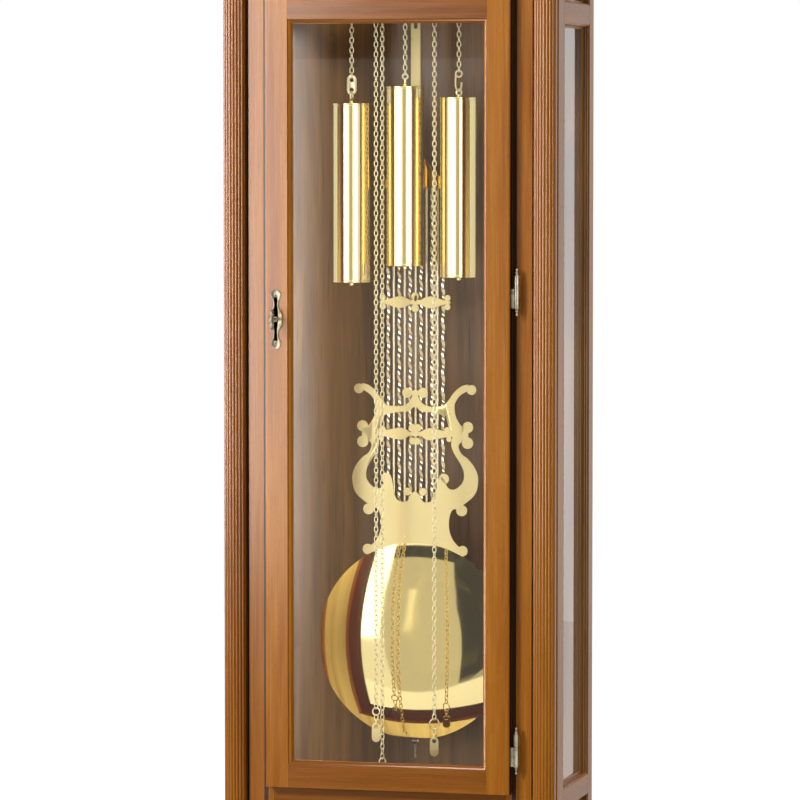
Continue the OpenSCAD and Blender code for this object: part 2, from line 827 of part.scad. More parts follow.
// Pendulum strip with its suspension spring and the slot for the crutch's pin
slot_z = pivot_z - 207;
module pendulum_strip() {
    foot_z = bob_z + grid_top + 28;
    color(brass)
        difference() {
            union() {
                block(-strip_w / 2, strip_w / 2, pend_y - plate_t / 2, pend_y + plate_t / 2, foot_z,
                    pivot_z - 24);
                block(-strip_w / 2 - 3, strip_w / 2 + 3, pend_y - 2, pend_y + 2, pivot_z - 30,
                    pivot_z - 20);
                block(-4, 4, pend_y - 0.3, pend_y + 0.3, pivot_z - 21, pivot_z + 0.6);
            }
            for (z = [slot_z + 2.5, slot_z + 37.5])
                rod_y(0, z, 2.5, pend_y - 3, pend_y + 3);
            block(-2.5, 2.5, pend_y - 3, pend_y + 3, slot_z + 2.5, slot_z + 37.5);
        }
}

// Roof-shaped bracket at the top of the grid
plate_back = pend_y - twist_rod_d / 2 - 0.2;
plate_front = plate_back - plate_t;
grid_z = bob_z + grid_top;
module rod_bracket() {
    color(brass) {
        along_y(plate_front, plate_back)
            translate([0, grid_z])
                polygon([[-41, 0], [41, 0], [41, 10], [24.2, 23], [11, 41], [-11, 41], [-24.2, 23],
                    [-41, 10]]);
        block(-41, 41, plate_back, pend_y + 2, grid_z, grid_z + 3);
        block(-strip_w / 2, strip_w / 2, plate_back, pend_y - plate_t / 2, grid_z + 28, grid_z + 40);
    }
}

// Grid rods: plain ones between twisted ones
rods_z0 = bob_top + 2;
module plain_rods() {
    color(brass)
        for (i = [-2:2])
            translate([2 * i * rod_pitch, pend_y, rods_z0])
                cylinder(d = plain_rod_d, h = grid_z - rods_z0);
}

module twisted_rods() {
    color(brass)
        for (i = [-3:2])
            translate([(2 * i + 1) * rod_pitch, pend_y, rods_z0])
                cylinder(d = twist_rod_d, h = grid_z - rods_z0);
}

// Cross bar over the grid
module cross_bar() {
    leaf = smooth([[0, 3.4], [7, 3], [12, 5.4], [20, 7.7], [30, 5.6], [38, 3], [47.4, 1]]);
    color(brass)
        along_y(plate_front, plate_back)
            translate([0, bob_z + cross_bar_z])
                for (a = [0, 180])
                    rotate(a) {
                        polygon(concat([[0, 0]], leaf, [[47.4, 0]]));
                        mirror([1, 0])
                            polygon(concat([[0, 0]], leaf, [[47.4, 0]]));
                        translate([0, 7.7])
                            circle(5);
                        for (z = [-5.7, 5.7])
                            translate([43.2, z])
                                circle(4);
                    }
}

// Lyre plate: one side's outline from the horn down, the centre bars and their knobs, drawn
// from a line that lies lyre_zero below the bob's upper edge
lyre_zero = 127.2;
horn_top = [[39, 307], [44.5, 313], [52.5, 324], [62.5, 332], [71, 334]];
horn_under = [[70.5, 326], [60.5, 320], [54.5, 312], [52.5, 304], [54.5, 292], [60.5, 281.5], [66, 276]];
arm_outer = [[62.5, 260], [58, 254], [62, 244], [70.5, 237.5], [78.5, 228], [83.5, 217], [84, 207],
    [82, 196], [76, 187], [66, 179]];
waist = [[55, 172], [50, 171], [46.5, 163], [45.3, 152.5], [46.2, 143], [49.5, 134], [54.5, 127],
    [60, 122]];
scroll = [[0, 195], [6.5, 189], [8.5, 184], [12, 180.5], [17.8, 180.4], [23.4, 182.7], [26.8, 187.5],
    [28.4, 194], [30, 204], [31, 211]];
arm_inner = [[41.2, 204.5], [43.8, 200], [48, 197.4], [53, 197.7], [59, 201.5], [64, 208], [65.5, 215],
    [64.4, 223], [60, 232], [53, 243], [49, 252], [48.5, 260], [51, 269], [47.5, 274.5], [44.5, 281],
    [42.6, 288], [41.2, 294]];
bar_top = [[42, 307], [31.5, 305], [18.5, 305], [10.5, 308.3], [6, 313.5], [4, 318]];
bar_under = [[0, 303.6], [3, 303.2], [6, 300], [10.5, 298], [25, 296.8], [43, 292.5]];
mid_leaf = [[0, 3.5], [7.3, 2.2], [12, 5.5], [18.6, 7.8], [29, 6.4], [39.6, 4], [54, 3]];
knobs = [[75.2, 327.1, 6.4], [70.3, 278.5, 7.2], [70, 258.1, 7.5], [62.3, 170.2, 7.2],
    [63.4, 117.7, 6.8], [10.5, 193.7, 5], [38.6, 211, 6.8], [10.5, 322.4, 6.5], [3.2, 276.9, 5],
    [3.2, 259.6, 4.5], [43.7, 273.8, 4.7], [45.3, 262.8, 3.5]];
module lyre_half() {
    polygon(concat(smooth(horn_top), smooth(horn_under), [[62, 268]], smooth(arm_outer), smooth(waist),
        [[58, 112], [50, 104], [50, 91], [0, 91]], smooth(scroll), [[38, 211]], smooth(arm_inner)));
    polygon(concat(smooth(bar_under), [[46, 300]], smooth(bar_top), [[4, 325], [0, 326]]));
    polygon(concat([[0, 269 - 3.5]], [for (p = smooth(mid_leaf)) [p[0], 269 - p[1]]],
        [for (i = [6:-1:0]) [mid_leaf[i][0], 269 + mid_leaf[i][1]]]));
    translate([62, 262])
        square([9, 12]);
    for (k = knobs)
        translate([k[0], k[1]])
            circle(k[2]);
}

module lyre() {
    color(brass)
        along_y(plate_front, plate_back)
            translate([0, bob_top - lyre_zero]) {
                lyre_half();
                mirror([1, 0])
                    lyre_half();
            }
}

// Bob: a brass shell, nearly flat in the middle and steeper towards its edge, on a flat back with
// a pocket for the lyre's foot and a slot for the rating rod, which reaches rating_seat up into it
shell_t = 1.2;
dome_power = 3.3;
rating_seat = 60;
function dome(r, rise) = [for (i = [0:32]) [r * i / 32, rise * (1 - pow(i / 32, dome_power))]];
module bob() {
    outer = dome(bob_d / 2, bob_rise);
    inner = dome(bob_d / 2 - shell_t, bob_rise - shell_t);
    color("#e6c868")
        translate([0, plate_front - 0.2, bob_z])
            rotate([90, 0, 0])
                rotate_extrude($fn = 128)
                    polygon(concat(outer, [for (i = [32:-1:0]) inner[i]]));
}

module bob_back() {
    y0 = plate_front - 0.2;
    color("#8d7a45")
        difference() {
            rod_y(0, bob_z, bob_d / 2 - 0.5, y0, y0 + 5.5);
            block(-68, 68, y0 - 1, plate_back + 0.1, bob_top - 38, bob_top + 1);
            block(-rating_r - 0.2, rating_r + 0.2, rating_y - rating_r - 0.2, y0 + 6, bob_low - 1,
                bob_low + rating_seat + 5);
        }
}

// Rating rod with its collar, and the knurled nut that turns on it under the bob
rating_y = plate_front + 3;
nut_h = 5.4;
collar_h = 3.8;
module rating_rod() {
    color("#b8a878")
        translate([0, rating_y, bob_low]) {
            translate([0, 0, -rating_reach])
                cylinder(r = rating_r, h = rating_reach + rating_seat);
            translate([0, 0, -nut_h - 1.6 - collar_h])
                cylinder(r = 2.2, h = collar_h);
        }
}

module rating_nut() {
    color(brass)
        translate([0, rating_y, bob_low - 0.8 - nut_h])
            difference() {
                union() {
                    cylinder(r1 = 2.8, r2 = 4.8, h = 2.6);
                    translate([0, 0, 2.6])
                        cylinder(r = 4.8, h = nut_h - 2.6);
                }
                translate([0, 0, -1])
                    cylinder(r = rating_r + pin_clear, h = nut_h + 2);
                for (i = [0:15])
                    rotate(22.5 * i)
                        translate([5.1, 0, 2.6])
                            cylinder(r = 0.6, h = nut_h, $fn = 16);
            }
}

// Anchor with its arbor and the crutch that drives the pendulum
crutch_y = move_y1 + move_plate_t + 2;
module anchor_crutch() {
    half = [[0, 3.5], [7, 1.5], [13.5, -5], [16, -14], [12.6, -15], [11, -9], [5, -4], [0, -3.5]];
    color("#b9a878") {
        rod_y(0, pivot_z, arbor_r, move_y0 - move_plate_t + 0.2, crutch_y + 2);
        along_y(weight_y - 6, weight_y - 3)
            translate([0, pivot_z]) {
                polygon(half);
                mirror([1, 0])
                    polygon(half);
            }
        block(-2, 2, crutch_y, crutch_y + 2, slot_z + 10, pivot_z + 3);
        rod_y(0, slot_z + 16, 1.4, crutch_y + 1, pend_y + 4);
    }
}

escape_r = 12.5;
escape_z = pivot_z - 21;
module escape_wheel() {
    color(brass) {
        rod_y(0, escape_z, arbor_r, move_y0 - move_plate_t + 0.2, move_y1 + move_plate_t - 0.2);
        along_y(weight_y - 5.5, weight_y - 3.5)
            translate([0, escape_z])
                difference() {
                    polygon([for (i = [0:29], k = [0, 1]) let (a = 12 * i + (k == 0 ? 0 : 4),
                        r = k == 0 ? escape_r : escape_r - 2.4) [r * cos(a), r * sin(a)]]);
                    for (i = [0:3])
                        rotate(45 + 90 * i)
                            translate([5.8, 0])
                                circle(2.6);
                }
    }
}

// Chain wheels: a grooved wheel and a toothed wheel on one arbor
module chain_wheel(c) {
    pitch_r = abs(c[0] - c[1]) / 2;
    groove_r = pitch_r - chain_r - 0.4;
    rim_r = pitch_r + 1;
    half_gap = chain_r + 0.5;
    tooth_n = 48;
    color(brass)
        translate([(c[0] + c[1]) / 2, 0, wheel_z]) {
            rod_y(0, 0, arbor_r, move_y0 - move_plate_t + 0.2, move_y1 + move_plate_t - 0.2);
            rod_y(0, 0, groove_r, weight_y - half_gap - 1.5, weight_y + half_gap + 1.5);
            for (s = [-1, 1])
                rod_y(0, 0, rim_r, weight_y + s * (half_gap + 0.75) - 0.75,
                    weight_y + s * (half_gap + 0.75) + 0.75);
            along_y(weight_y + half_gap + 4, weight_y + half_gap + 6)
                polygon([for (i = [0:tooth_n - 1], k = [0, 1]) let (a = (i + k / 2) * 360 / tooth_n,
                    r = rim_r + 1 - 1.6 * k) [r * cos(a), r * sin(a)]]);
        }
}

module chain_wheel_left() {
    chain_wheel(chains[0]);
}

module chain_wheel_mid() {
    chain_wheel(chains[1]);
}

module chain_wheel_right() {
    chain_wheel(chains[2]);
}

// Hands: the minute hand has the centre arbor and its wheel, the hour hand its pipe
hour_r = 3.2;
hand_t = 0.8;
module minute_hand() {
    hand_y = ring_y - 6;
    color("#1c1712")
        along_y(hand_y, hand_y + hand_t)
            translate([0, dial_z])
                rotate(-60) {
                    circle(5);
                    polygon([[-2.2, -18], [2.2, -18], [1.6, 0], [2.6, minute_len * 0.6],
                        [1, minute_len * 0.8], [0, minute_len], [-1, minute_len * 0.8],
                        [-2.6, minute_len * 0.6], [-1.6, 0]]);
                    translate([0, minute_len * 0.6])
                        circle(5);
                }
    color(brass) {
        rod_y(0, dial_z, arbor_r, hand_y - 2, move_y1 + move_plate_t - 0.2);
        rod_y(0, dial_z, 3, hand_y - 1.5, hand_y);
        rod_y(0, dial_z, 15, move_y1 - 9, move_y1 - 7);
    }
}

module hour_hand() {
    hand_y = ring_y - 4;
    color("#1c1712")
        difference() {
            union() {
                along_y(hand_y, hand_y + hand_t)
                    translate([0, dial_z])
                        rotate(60) {
                            circle(7);
                            polygon([[-3, 0], [3, 0], [3.4, hour_len * 0.55], [1.4, hour_len * 0.8],
                                [0, hour_len], [-1.4, hour_len * 0.8], [-3.4, hour_len * 0.55]]);
                            translate([0, hour_len * 0.55])
                                circle(7);
                        }
                rod_y(0, dial_z, hour_r, hand_y, dial_y + 8);
            }
            rod_y(0, dial_z, arbor_r + pin_clear, hand_y - 1, dial_y + 9);
        }
}

// Weights: polished cylinders with rims, a nut below and an eye above, which holds a plate with
// two holes on the left weight and a hook on the right one
eye_wire = 1.3;
eyes = [[9.4, 6], [12.5, 3.3], [5.9, 4.2]];
plate_r = 6.5;
hole_step = 12.8;
plate_z = 17.1;
hook_top = [30, 4];
hook_half = 1.2;
hook_path = smooth([[-4, 30], [-4.4, 22], [-4.4, 16], [-3.6, 12], [-1.8, 8.6], [0.2, 7.6], [1.9, 9],
    [2.9, 12.5], [3.4, 16], [3.2, 19]], 3);
hook_hs = [plate_z + hole_step + plate_r, eyes[1][0] + eyes[1][1] + eye_wire,
    hook_top[0] + hook_top[1] + eye_wire];
function beside(path, r) = [for (i = [0:len(path) - 1])
    let (d = path[min(i + 1, len(path) - 1)] - path[max(i - 1, 0)])
    path[i] + r / norm(d) * [-d[1], d[0]]];
module hook() {
    left = beside(hook_path, hook_half);
    along_y(-hook_half, hook_half)
        polygon(concat(beside(hook_path, -hook_half), [for (i = [len(left) - 1:-1:0]) left[i]]));
}

module wire_ring(z, r) {
    translate([0, 0, z])
        rotate([90, 0, 0])
            rotate_extrude()
                translate([r, 0])
                    circle(eye_wire, $fn = 24);
}

module two_hole_plate() {
    difference() {
        union() {
            for (k = [0, 1])
                translate([0, hole_step * k])
                    circle(plate_r);
            translate([-plate_r, 0])
                square([2 * plate_r, hole_step]);
        }
        for (k = [0, 1])
            translate([0, hole_step * k])
                circle(2.8);
    }
}

module weight(i) {
    r = weight_d / 2;
    z = weight_zs[i];
    top = z + weight_h;
    color("#d9bd5c")
        translate([chains[i][0], weight_y, 0]) {
            translate([0, 0, z])
                cylinder(r = r, h = weight_h, $fn = 96);
            for (h = [z, top - 3])
                translate([0, 0, h])
                    cylinder(r = r + 0.5, h = 3, $fn = 96);
            translate([0, 0, z - 4.5])
                cylinder(r = 3, h = 5);
            translate([0, 0, top - 0.5])
                cylinder(r = 3.4, h = 4);
            rotate(i == 0 ? 90 : 0)
                wire_ring(top + eyes[i][0], eyes[i][1]);
            if (i == 0)
                along_y(-0.9, 0.9)
                    translate([0, top + plate_z])
                        two_hole_plate();
            if (i == 1)
                translate([0, 0, top])
                    cylinder(r = 1.6, h = eyes[i][0] - eyes[i][1]);
            if (i == 2) {
                wire_ring(top + hook_top[0], hook_top[1]);
                translate([0, 0, top])
                    hook();
            }
        }
}

module weight_left() {
    weight(0);
}

module weight_mid() {
    weight(1);
}

module weight_right() {
    weight(2);
}

// A hanging strand of chain as a plain beaded rod from z0 up to z1
module strand(x, z0, z1) {
    n = max(1, round((z1 - z0) / chain_pitch));
    step = (z1 - z0) / n;
    translate([x, weight_y, 0])
        rotate_extrude($fn = 16)
            polygon(concat([[0, z0]], [for (i = [0:n - 1]) each [[0.6 * chain_r, z0 + step * i],
                [1.1 * chain_r, z0 + step * (i + 0.5)]]], [[0.6 * chain_r, z1], [0, z1]]));
}

// The bend of a chain over its wheel
module chain_bend(c) {
    translate([(c[0] + c[1]) / 2, weight_y, wheel_z])
        rotate([90, 0, 0])
            rotate_extrude(angle = 180)
                translate([abs(c[0] - c[1]) / 2, 0])
                    circle(chain_r, $fn = 24);
}

// Weight-side strands, from each weight's hook to its wheel
module weight_chains() {
    color("#cbb26a")
        for (i = [0:2]) {
            strand(chains[i][0], weight_zs[i] + weight_h + hook_hs[i] + 0.2, wheel_z);
            chain_bend(chains[i]);
        }
}

// Free strands with a ring at the end, two of them with an oval tag that hangs from two links
ring_rs = [4.7, 4.7, 6.8];
ring_turns = [0, 0, 40];
ring_wire = 1;
tag_r = 5.7;
tag_step = 13.8;
tag_hole_r = 2.9;
module free_chain(i, drop, tag) {
    x = chains[i][1];
    z = wheel_z - drop;
    ring_r = ring_rs[i];
    tag_z = z - ring_r - chain_pitch - tag_hole_r;
    color("#cbb26a") {
        strand(x, z + ring_r, wheel_z);
        translate([x, weight_y, z])
            rotate([90, 0, ring_turns[i]])
                rotate_extrude()
                    translate([ring_r, 0])
                        circle(ring_wire, $fn = 24);
        if (tag) {
            strand(x, z - ring_r - chain_pitch, z - ring_r);
            along_y(weight_y - 0.6, weight_y + 0.6)
                translate([x, tag_z])
                    difference() {
                        hull()
                            for (k = [0, 1])
                                translate([0, -tag_step * k])
                                    circle(tag_r);
                        translate([0, 0.5])
                            circle(tag_hole_r);
                    }
        }
    }
}

module free_chain_left() {
    free_chain(0, ring_left_drop, true);
}

module free_chain_mid() {
    free_chain(1, ring_mid_drop, false);
}

module free_chain_right() {
    free_chain(2, ring_right_drop, true);
}

plinth();
cornice();
top_board();
floor_board();
back_panel();
face_stiles();
face_rails();
base_panel();
corner_posts();
side_stiles();
side_rails();
side_beads();
side_glass();
side_panels();
seat_board();
hinge_leaves_case();
movement_plates();
pillars();
suspension_cock();
dial_plate();
chapter_ring();
numerals();
chime_block();
chime_rods();
door_stiles();
door_rails();
door_beads();
door_glass_lower();
door_glass_upper();
hinge_leaves_door();
escutcheon();
lock_case();
key();
latch_tongue();
pendulum_strip();
rod_bracket();
plain_rods();
twisted_rods();
cross_bar();
lyre();
bob();
bob_back();
rating_rod();
rating_nut();
anchor_crutch();
escape_wheel();
chain_wheel_left();
chain_wheel_mid();
chain_wheel_right();
minute_hand();
hour_hand();
hammer_bracket();
hammers();
weight_left();
weight_mid();
weight_right();
weight_chains();
free_chain_left();
free_chain_mid();
free_chain_right();
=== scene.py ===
"""Looks of the longcase clock: materials, fine pieces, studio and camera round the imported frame.

Metres, +Z up, front towards -Y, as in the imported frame. Places come from the frame's own nodes,
and sizes that the frame doesn't hold are named values in millimetres times MM.
"""

import json
import math

import bmesh
import bpy
from mathutils import Matrix, Vector

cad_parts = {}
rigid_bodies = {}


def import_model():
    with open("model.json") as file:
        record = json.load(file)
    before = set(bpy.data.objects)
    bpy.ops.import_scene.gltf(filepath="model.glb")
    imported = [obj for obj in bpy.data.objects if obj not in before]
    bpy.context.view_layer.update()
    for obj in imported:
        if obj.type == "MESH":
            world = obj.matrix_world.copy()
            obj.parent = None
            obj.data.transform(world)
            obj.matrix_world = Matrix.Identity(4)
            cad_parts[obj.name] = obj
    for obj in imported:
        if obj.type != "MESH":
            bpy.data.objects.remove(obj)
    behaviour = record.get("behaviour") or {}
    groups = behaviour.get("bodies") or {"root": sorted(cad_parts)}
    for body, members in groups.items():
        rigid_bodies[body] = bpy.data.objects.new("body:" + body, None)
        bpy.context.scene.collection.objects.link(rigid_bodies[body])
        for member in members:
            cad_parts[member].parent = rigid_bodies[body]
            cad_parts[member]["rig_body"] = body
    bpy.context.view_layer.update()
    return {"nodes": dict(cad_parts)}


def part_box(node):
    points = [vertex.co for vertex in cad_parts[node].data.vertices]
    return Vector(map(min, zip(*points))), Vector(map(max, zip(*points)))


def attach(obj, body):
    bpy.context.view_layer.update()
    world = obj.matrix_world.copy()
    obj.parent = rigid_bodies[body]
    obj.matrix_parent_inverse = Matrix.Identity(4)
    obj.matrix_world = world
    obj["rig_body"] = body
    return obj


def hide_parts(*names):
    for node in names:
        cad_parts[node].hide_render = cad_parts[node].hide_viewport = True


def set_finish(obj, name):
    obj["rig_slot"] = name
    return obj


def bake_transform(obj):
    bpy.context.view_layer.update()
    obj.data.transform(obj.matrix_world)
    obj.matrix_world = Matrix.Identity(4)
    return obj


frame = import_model()
nodes = frame["nodes"]

MM = 0.001
X_AXIS, Y_AXIS, Z_AXIS = Vector((1, 0, 0)), Vector((0, 1, 0)), Vector((0, 0, 1))


def centre(name):
    """Middle of a CAD node's box."""
    lo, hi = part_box(name)
    return (lo + hi) / 2


def srgb(red, green, blue):
    """Linear colour with alpha of an 8-bit screen colour."""
    def linear(c):
        c = c / 255
        return c / 12.92 if c <= 0.04045 else ((c + 0.055) / 1.055) ** 2.4
    return linear(red), linear(green), linear(blue), 1


# Camera: right of the centre line and a little above the trunk's middle, with a long lens
CAM_AZIMUTH = math.radians(14)
CAM_ELEVATION = math.radians(3.5)
CAM_DISTANCE = 6.087
CAM_TARGET = Vector((0.0147, -0.0955, 0.9466))
CAM_LENS = 216
CAM_SENSOR = 36


def add_camera():
    """The scene's camera, at the photograph's angle and distance."""
    data = bpy.data.cameras.new("camera")
    data.lens = CAM_LENS
    data.sensor_width = CAM_SENSOR
    data.clip_end = 100
    camera = bpy.data.objects.new("camera", data)
    bpy.context.scene.collection.objects.link(camera)
    back = Vector((
        math.sin(CAM_AZIMUTH) * math.cos(CAM_ELEVATION),
        -math.cos(CAM_AZIMUTH) * math.cos(CAM_ELEVATION),
        math.sin(CAM_ELEVATION),
    ))
    camera.location = CAM_TARGET + back * CAM_DISTANCE
    camera.rotation_euler = (-back).to_track_quat("-Z", "Y").to_euler()
    bpy.context.scene.camera = camera


# Materials

class Graph:
    """A new node material with short calls to add and join nodes."""

    def __init__(self, name):
        self.material = bpy.data.materials.new(name)
        self.material.use_nodes = True
        self.tree = self.material.node_tree
        self.tree.nodes.clear()

    def add(self, kind, inputs=None, **settings):
        """Adds a shader node; inputs maps a socket's name or index to a value or to an output."""
        node = self.tree.nodes.new("ShaderNode" + kind)
        for key, value in settings.items():
            setattr(node, key, value)
        for key, value in (inputs or {}).items():
            if isinstance(value, bpy.types.NodeSocket):
                self.tree.links.new(value, node.inputs[key])
            else:
                node.inputs[key].default_value = value
        return node

    def coords(self, scale=(1, 1, 1)):
        """Object coordinates, stretched by scale."""
        place = self.add("TexCoord").outputs["Object"]
        return self.add("Mapping", {"Vector": place, "Scale": scale}).outputs["Vector"]

    def noise(self, vector, scale, detail=3, roughness=0.5, distortion=0):
        """Noise value from 0 to 1."""
        return self.add("TexNoise", {
            "Vector": vector, "Scale": scale, "Detail": detail, "Roughness": roughness,
            "Distortion": distortion,
        }).outputs["Fac"]

    def ramp(self, value, stops):
        """Colour ramp: stops are (place, colour) pairs."""
        node = self.add("ValToRGB", {"Fac": value})
        elements = node.color_ramp.elements
        while len(elements) < len(stops):
            elements.new(0.5)
        for element, (place, colour) in zip(elements, stops):
            element.position = place
            element.color = colour
        return node.outputs["Color"]

    def remap(self, value, low, high, to_low, to_high):
        """Value moved from one range to another and held inside it."""
        return self.add("MapRange", {
            "Value": value, "From Min": low, "From Max": high, "To Min": to_low, "To Max": to_high,
        }).outputs["Result"]

    def math(self, operation, a, b):
        """One sum of two values."""
        return self.add("Math", {0: a, 1: b}, operation=operation).outputs["Value"]

    def mix(self, factor, a, b):
        """Mixed colour."""
        return self.add("Mix", {"Factor": factor, 6: a, 7: b}, data_type="RGBA").outputs[2]

    def bump(self, height, distance, strength=1):
        """Normal that is bent by a height."""
        return self.add("Bump", {
            "Height": height, "Distance": distance, "Strength": strength,
        }).outputs["Normal"]

    def finish(self, shader):
        """Joins the shader to the output and returns the material."""
        self.add("OutputMaterial", {"Surface": shader})
        return self.material


GRAIN_STRETCH = 0.055
AXES = "XYZ"


def grain_scale(axis, stretch):
    """Mapping scale that draws a pattern out along one axis."""
    return [stretch if letter == axis else 1 for letter in AXES]


WOOD_IOR = 1.2


def wood(name, axis, light, mid, dark, roughness=0.25, figure=32, pore_depth=0.5, relief=0.3,
         ior=WOOD_IOR):
    """Lacquered wood whose grain runs along one axis of the clock."""
    g = Graph(f"{name}_{axis}")
    broad = g.noise(g.coords(grain_scale(axis, GRAIN_STRETCH)), figure, 4, 0.55, 0.6)
    fibres = g.noise(g.coords(grain_scale(axis, 0.02)), 620, 3, 0.6)
    flecks = g.noise(g.coords(grain_scale(axis, 0.09)), 1500, 2, 0.5)
    tone = g.math("ADD", g.math("MULTIPLY", broad, 0.72), g.math("MULTIPLY", fibres, 0.28))
    colour = g.ramp(tone, [(0.36, dark), (0.5, mid), (0.64, light)])
    pores = g.remap(flecks, 0.62, 0.72, 0, pore_depth)
    colour = g.mix(pores, colour, [c * 0.45 for c in dark[:3]] + [1])
    gloss = g.remap(fibres, 0.3, 0.7, roughness - 0.04, roughness + 0.05)
    height = g.math("SUBTRACT", g.math("MULTIPLY", fibres, 0.5), pores)
    shader = g.add("BsdfPrincipled", {
        "Base Color": colour, "Roughness": gloss, "IOR": ior,
        "Normal": g.bump(height, 0.00008, relief),
    })
    return g.finish(shader.outputs["BSDF"])


def metal(name, colour, worn, roughness, spread=0.04, smudge=14, brushed=None, tarnish=0.25):
    """Metal with uneven polish: worn is its duller colour, brushed the axis of fine lines."""
    g = Graph(name)
    cloudy = g.noise(g.coords(), smudge, 4, 0.6)
    fine = g.noise(g.coords(), 260, 2, 0.5)
    tint = g.mix(g.remap(cloudy, 0.35, 0.75, 0, tarnish), colour, worn)
    level = g.math("ADD", g.math("MULTIPLY", cloudy, 0.7), g.math("MULTIPLY", fine, 0.3))
    inputs = {
        "Base Color": tint, "Metallic": 1.0,
        "Roughness": g.remap(level, 0.3, 0.7, max(roughness - spread, 0.02), roughness + spread),
    }
    if brushed:
        lines = g.noise(g.coords(grain_scale(brushed, 0.01)), 1800, 2, 0.5)
        inputs["Normal"] = g.bump(lines, 0.00002, 0.35)
    return g.finish(g.add("BsdfPrincipled", inputs).outputs["BSDF"])


def glass(name, ior):
    """Thin clear pane: light goes straight through, and its outer faces mirror by their angle."""
    g = Graph(name)
    facing = g.math("SUBTRACT", 1.0, g.add("NewGeometry").outputs["Backfacing"])
    grease = g.noise(g.coords(), 9, 3, 0.5)
    shine = g.math("MULTIPLY", g.add("Fresnel", {"IOR": ior}).outputs["Fac"], facing)
    mirror = g.add("BsdfAnisotropic", {
        "Color": (1, 1, 1, 1), "Roughness": g.remap(grease, 0.3, 0.7, 0.0, 0.02),
    })
    clear = g.add("BsdfTransparent", {"Color": (0.99, 0.995, 0.99, 1)})
    return g.finish(g.add("MixShader", {
        0: shine, 1: clear.outputs[0], 2: mirror.outputs[0],
    }).outputs[0])


def plain(name, light, dark, roughness, scale=80, metallic=0.0):
    """Enamel, paint or cast metal: two close tones and a slightly uneven surface."""
    g = Graph(name)
    mottle = g.noise(g.coords(), scale, 4, 0.6)
    shader = g.add("BsdfPrincipled", {
        "Base Color": g.mix(mottle, light, dark), "Metallic": metallic,
        "Roughness": g.remap(mottle, 0.3, 0.7, roughness - 0.05, roughness + 0.05),
        "Normal": g.bump(mottle, 0.00004, 0.4),
    })
    return g.finish(shader.outputs["BSDF"])


CASE_LIGHT, CASE_MID, CASE_DARK = srgb(180, 112, 18), srgb(164, 98, 12), srgb(142, 79, 8)
RAIL_LIGHT, RAIL_MID, RAIL_DARK = srgb(154, 93, 15), srgb(140, 80, 10), srgb(120, 64, 7)
BACK_LIGHT, BACK_MID, BACK_DARK = srgb(124, 86, 42), srgb(108, 73, 33), srgb(84, 56, 26)
RAW_LIGHT, RAW_MID, RAW_DARK = srgb(214, 198, 150), srgb(202, 184, 136), srgb(184, 164, 116)
case_wood = {a: wood("case_wood", a, CASE_LIGHT, CASE_MID, CASE_DARK) for a in "YZ"}
case_wood["X"] = wood("case_wood", "X", RAIL_LIGHT, RAIL_MID, RAIL_DARK)
POST_LIGHT, POST_MID, POST_DARK = srgb(162, 99, 16), srgb(148, 87, 11), srgb(128, 70, 7)
post_wood = wood("post_wood", "Z", POST_LIGHT, POST_MID, POST_DARK, 0.25, 14, 0.1, 0.05)
back_wood = wood("back_wood", "Z", BACK_LIGHT, BACK_MID, BACK_DARK, 0.3, 60, 0.35, 0.1, 1.5)
raw_wood = wood("raw_wood", "Z", RAW_LIGHT, RAW_MID, RAW_DARK, 0.6, 60, 0.2, 0.1)
shaded_wood = wood("shaded_wood", "Z", BACK_LIGHT, BACK_MID, BACK_DARK, 0.5, 60, 0.35, 0.1)
# Near-black wood that is painted shade: the door's shadow on the face stiles, and the shade in the grooves
# by the posts and on the door's outer edges.
painted_shade_wood = wood("painted_shade_wood", "Z", *[srgb(58, 34, 18), srgb(46, 26, 14), srgb(34, 19, 10)], 0.4)
polished = metal("polished_brass", srgb(243, 220, 155), srgb(232, 205, 140), 0.05, 0.015, 8)
satin = metal("satin_brass", srgb(240, 217, 153), srgb(232, 207, 143), 0.06, 0.02, 20)
brushed = metal("brushed_brass", srgb(240, 219, 160), srgb(228, 204, 142), 0.3, 0.04, 20, "Z")
soft_brass = metal("weight_brass", srgb(240, 222, 165), srgb(228, 206, 148), 0.13, 0.02, 8)
silvery = metal("rod_metal", srgb(228, 220, 198), srgb(196, 184, 152), 0.12, 0.03, 40)
movement = metal("movement_brass", srgb(214, 184, 112), srgb(186, 152, 88), 0.28, 0.05, 30)
old_brass = metal("old_brass", srgb(186, 176, 152), srgb(84, 74, 58), 0.3, 0.08, 120, None, 0.85)
chain_brass = metal("chain_brass", srgb(252, 240, 200), srgb(236, 216, 160), 0.34, 0.05, 60)
iron = plain("cast_iron", srgb(70, 70, 72), srgb(48, 48, 50), 0.6, 200, 0.6)
enamel = plain("dial_white", srgb(240, 233, 214), srgb(232, 224, 203), 0.35)
paint = plain("black_paint", srgb(30, 24, 20), srgb(20, 16, 13), 0.4)
door_glass = glass("door_glass", 1.5)
side_glass = glass("side_glass", 2.5)


# Pieces

SHARP_ANGLE = 35
FLAT_ANGLE = 0.5
WELD_REACH = 0.004 * MM


def work_copy(name):
    """A CAD node's mesh to work on, with its corners joined and its flat faces whole."""
    work = bmesh.new()
    work.from_mesh(nodes[name].data)
    bmesh.ops.remove_doubles(work, verts=work.verts, dist=WELD_REACH)
    bmesh.ops.dissolve_limit(work, angle_limit=math.radians(FLAT_ANGLE), verts=work.verts,
                             edges=work.edges)
    return work


def saved(work, name):
    """A work mesh as a mesh."""
    mesh = bpy.data.meshes.new(name)
    work.to_mesh(mesh)
    work.free()
    return mesh


def ease_edges(work, offset, angle):
    """Rounds the edges of a work mesh that are sharper than an angle."""
    sharp = [e for e in work.edges if len(e.link_faces) == 2 and e.calc_face_angle(0) > angle]
    bmesh.ops.bevel(work, geom=sharp, offset=offset, segments=2, profile=0.5, affect="EDGES",
                    clamp_overlap=True)


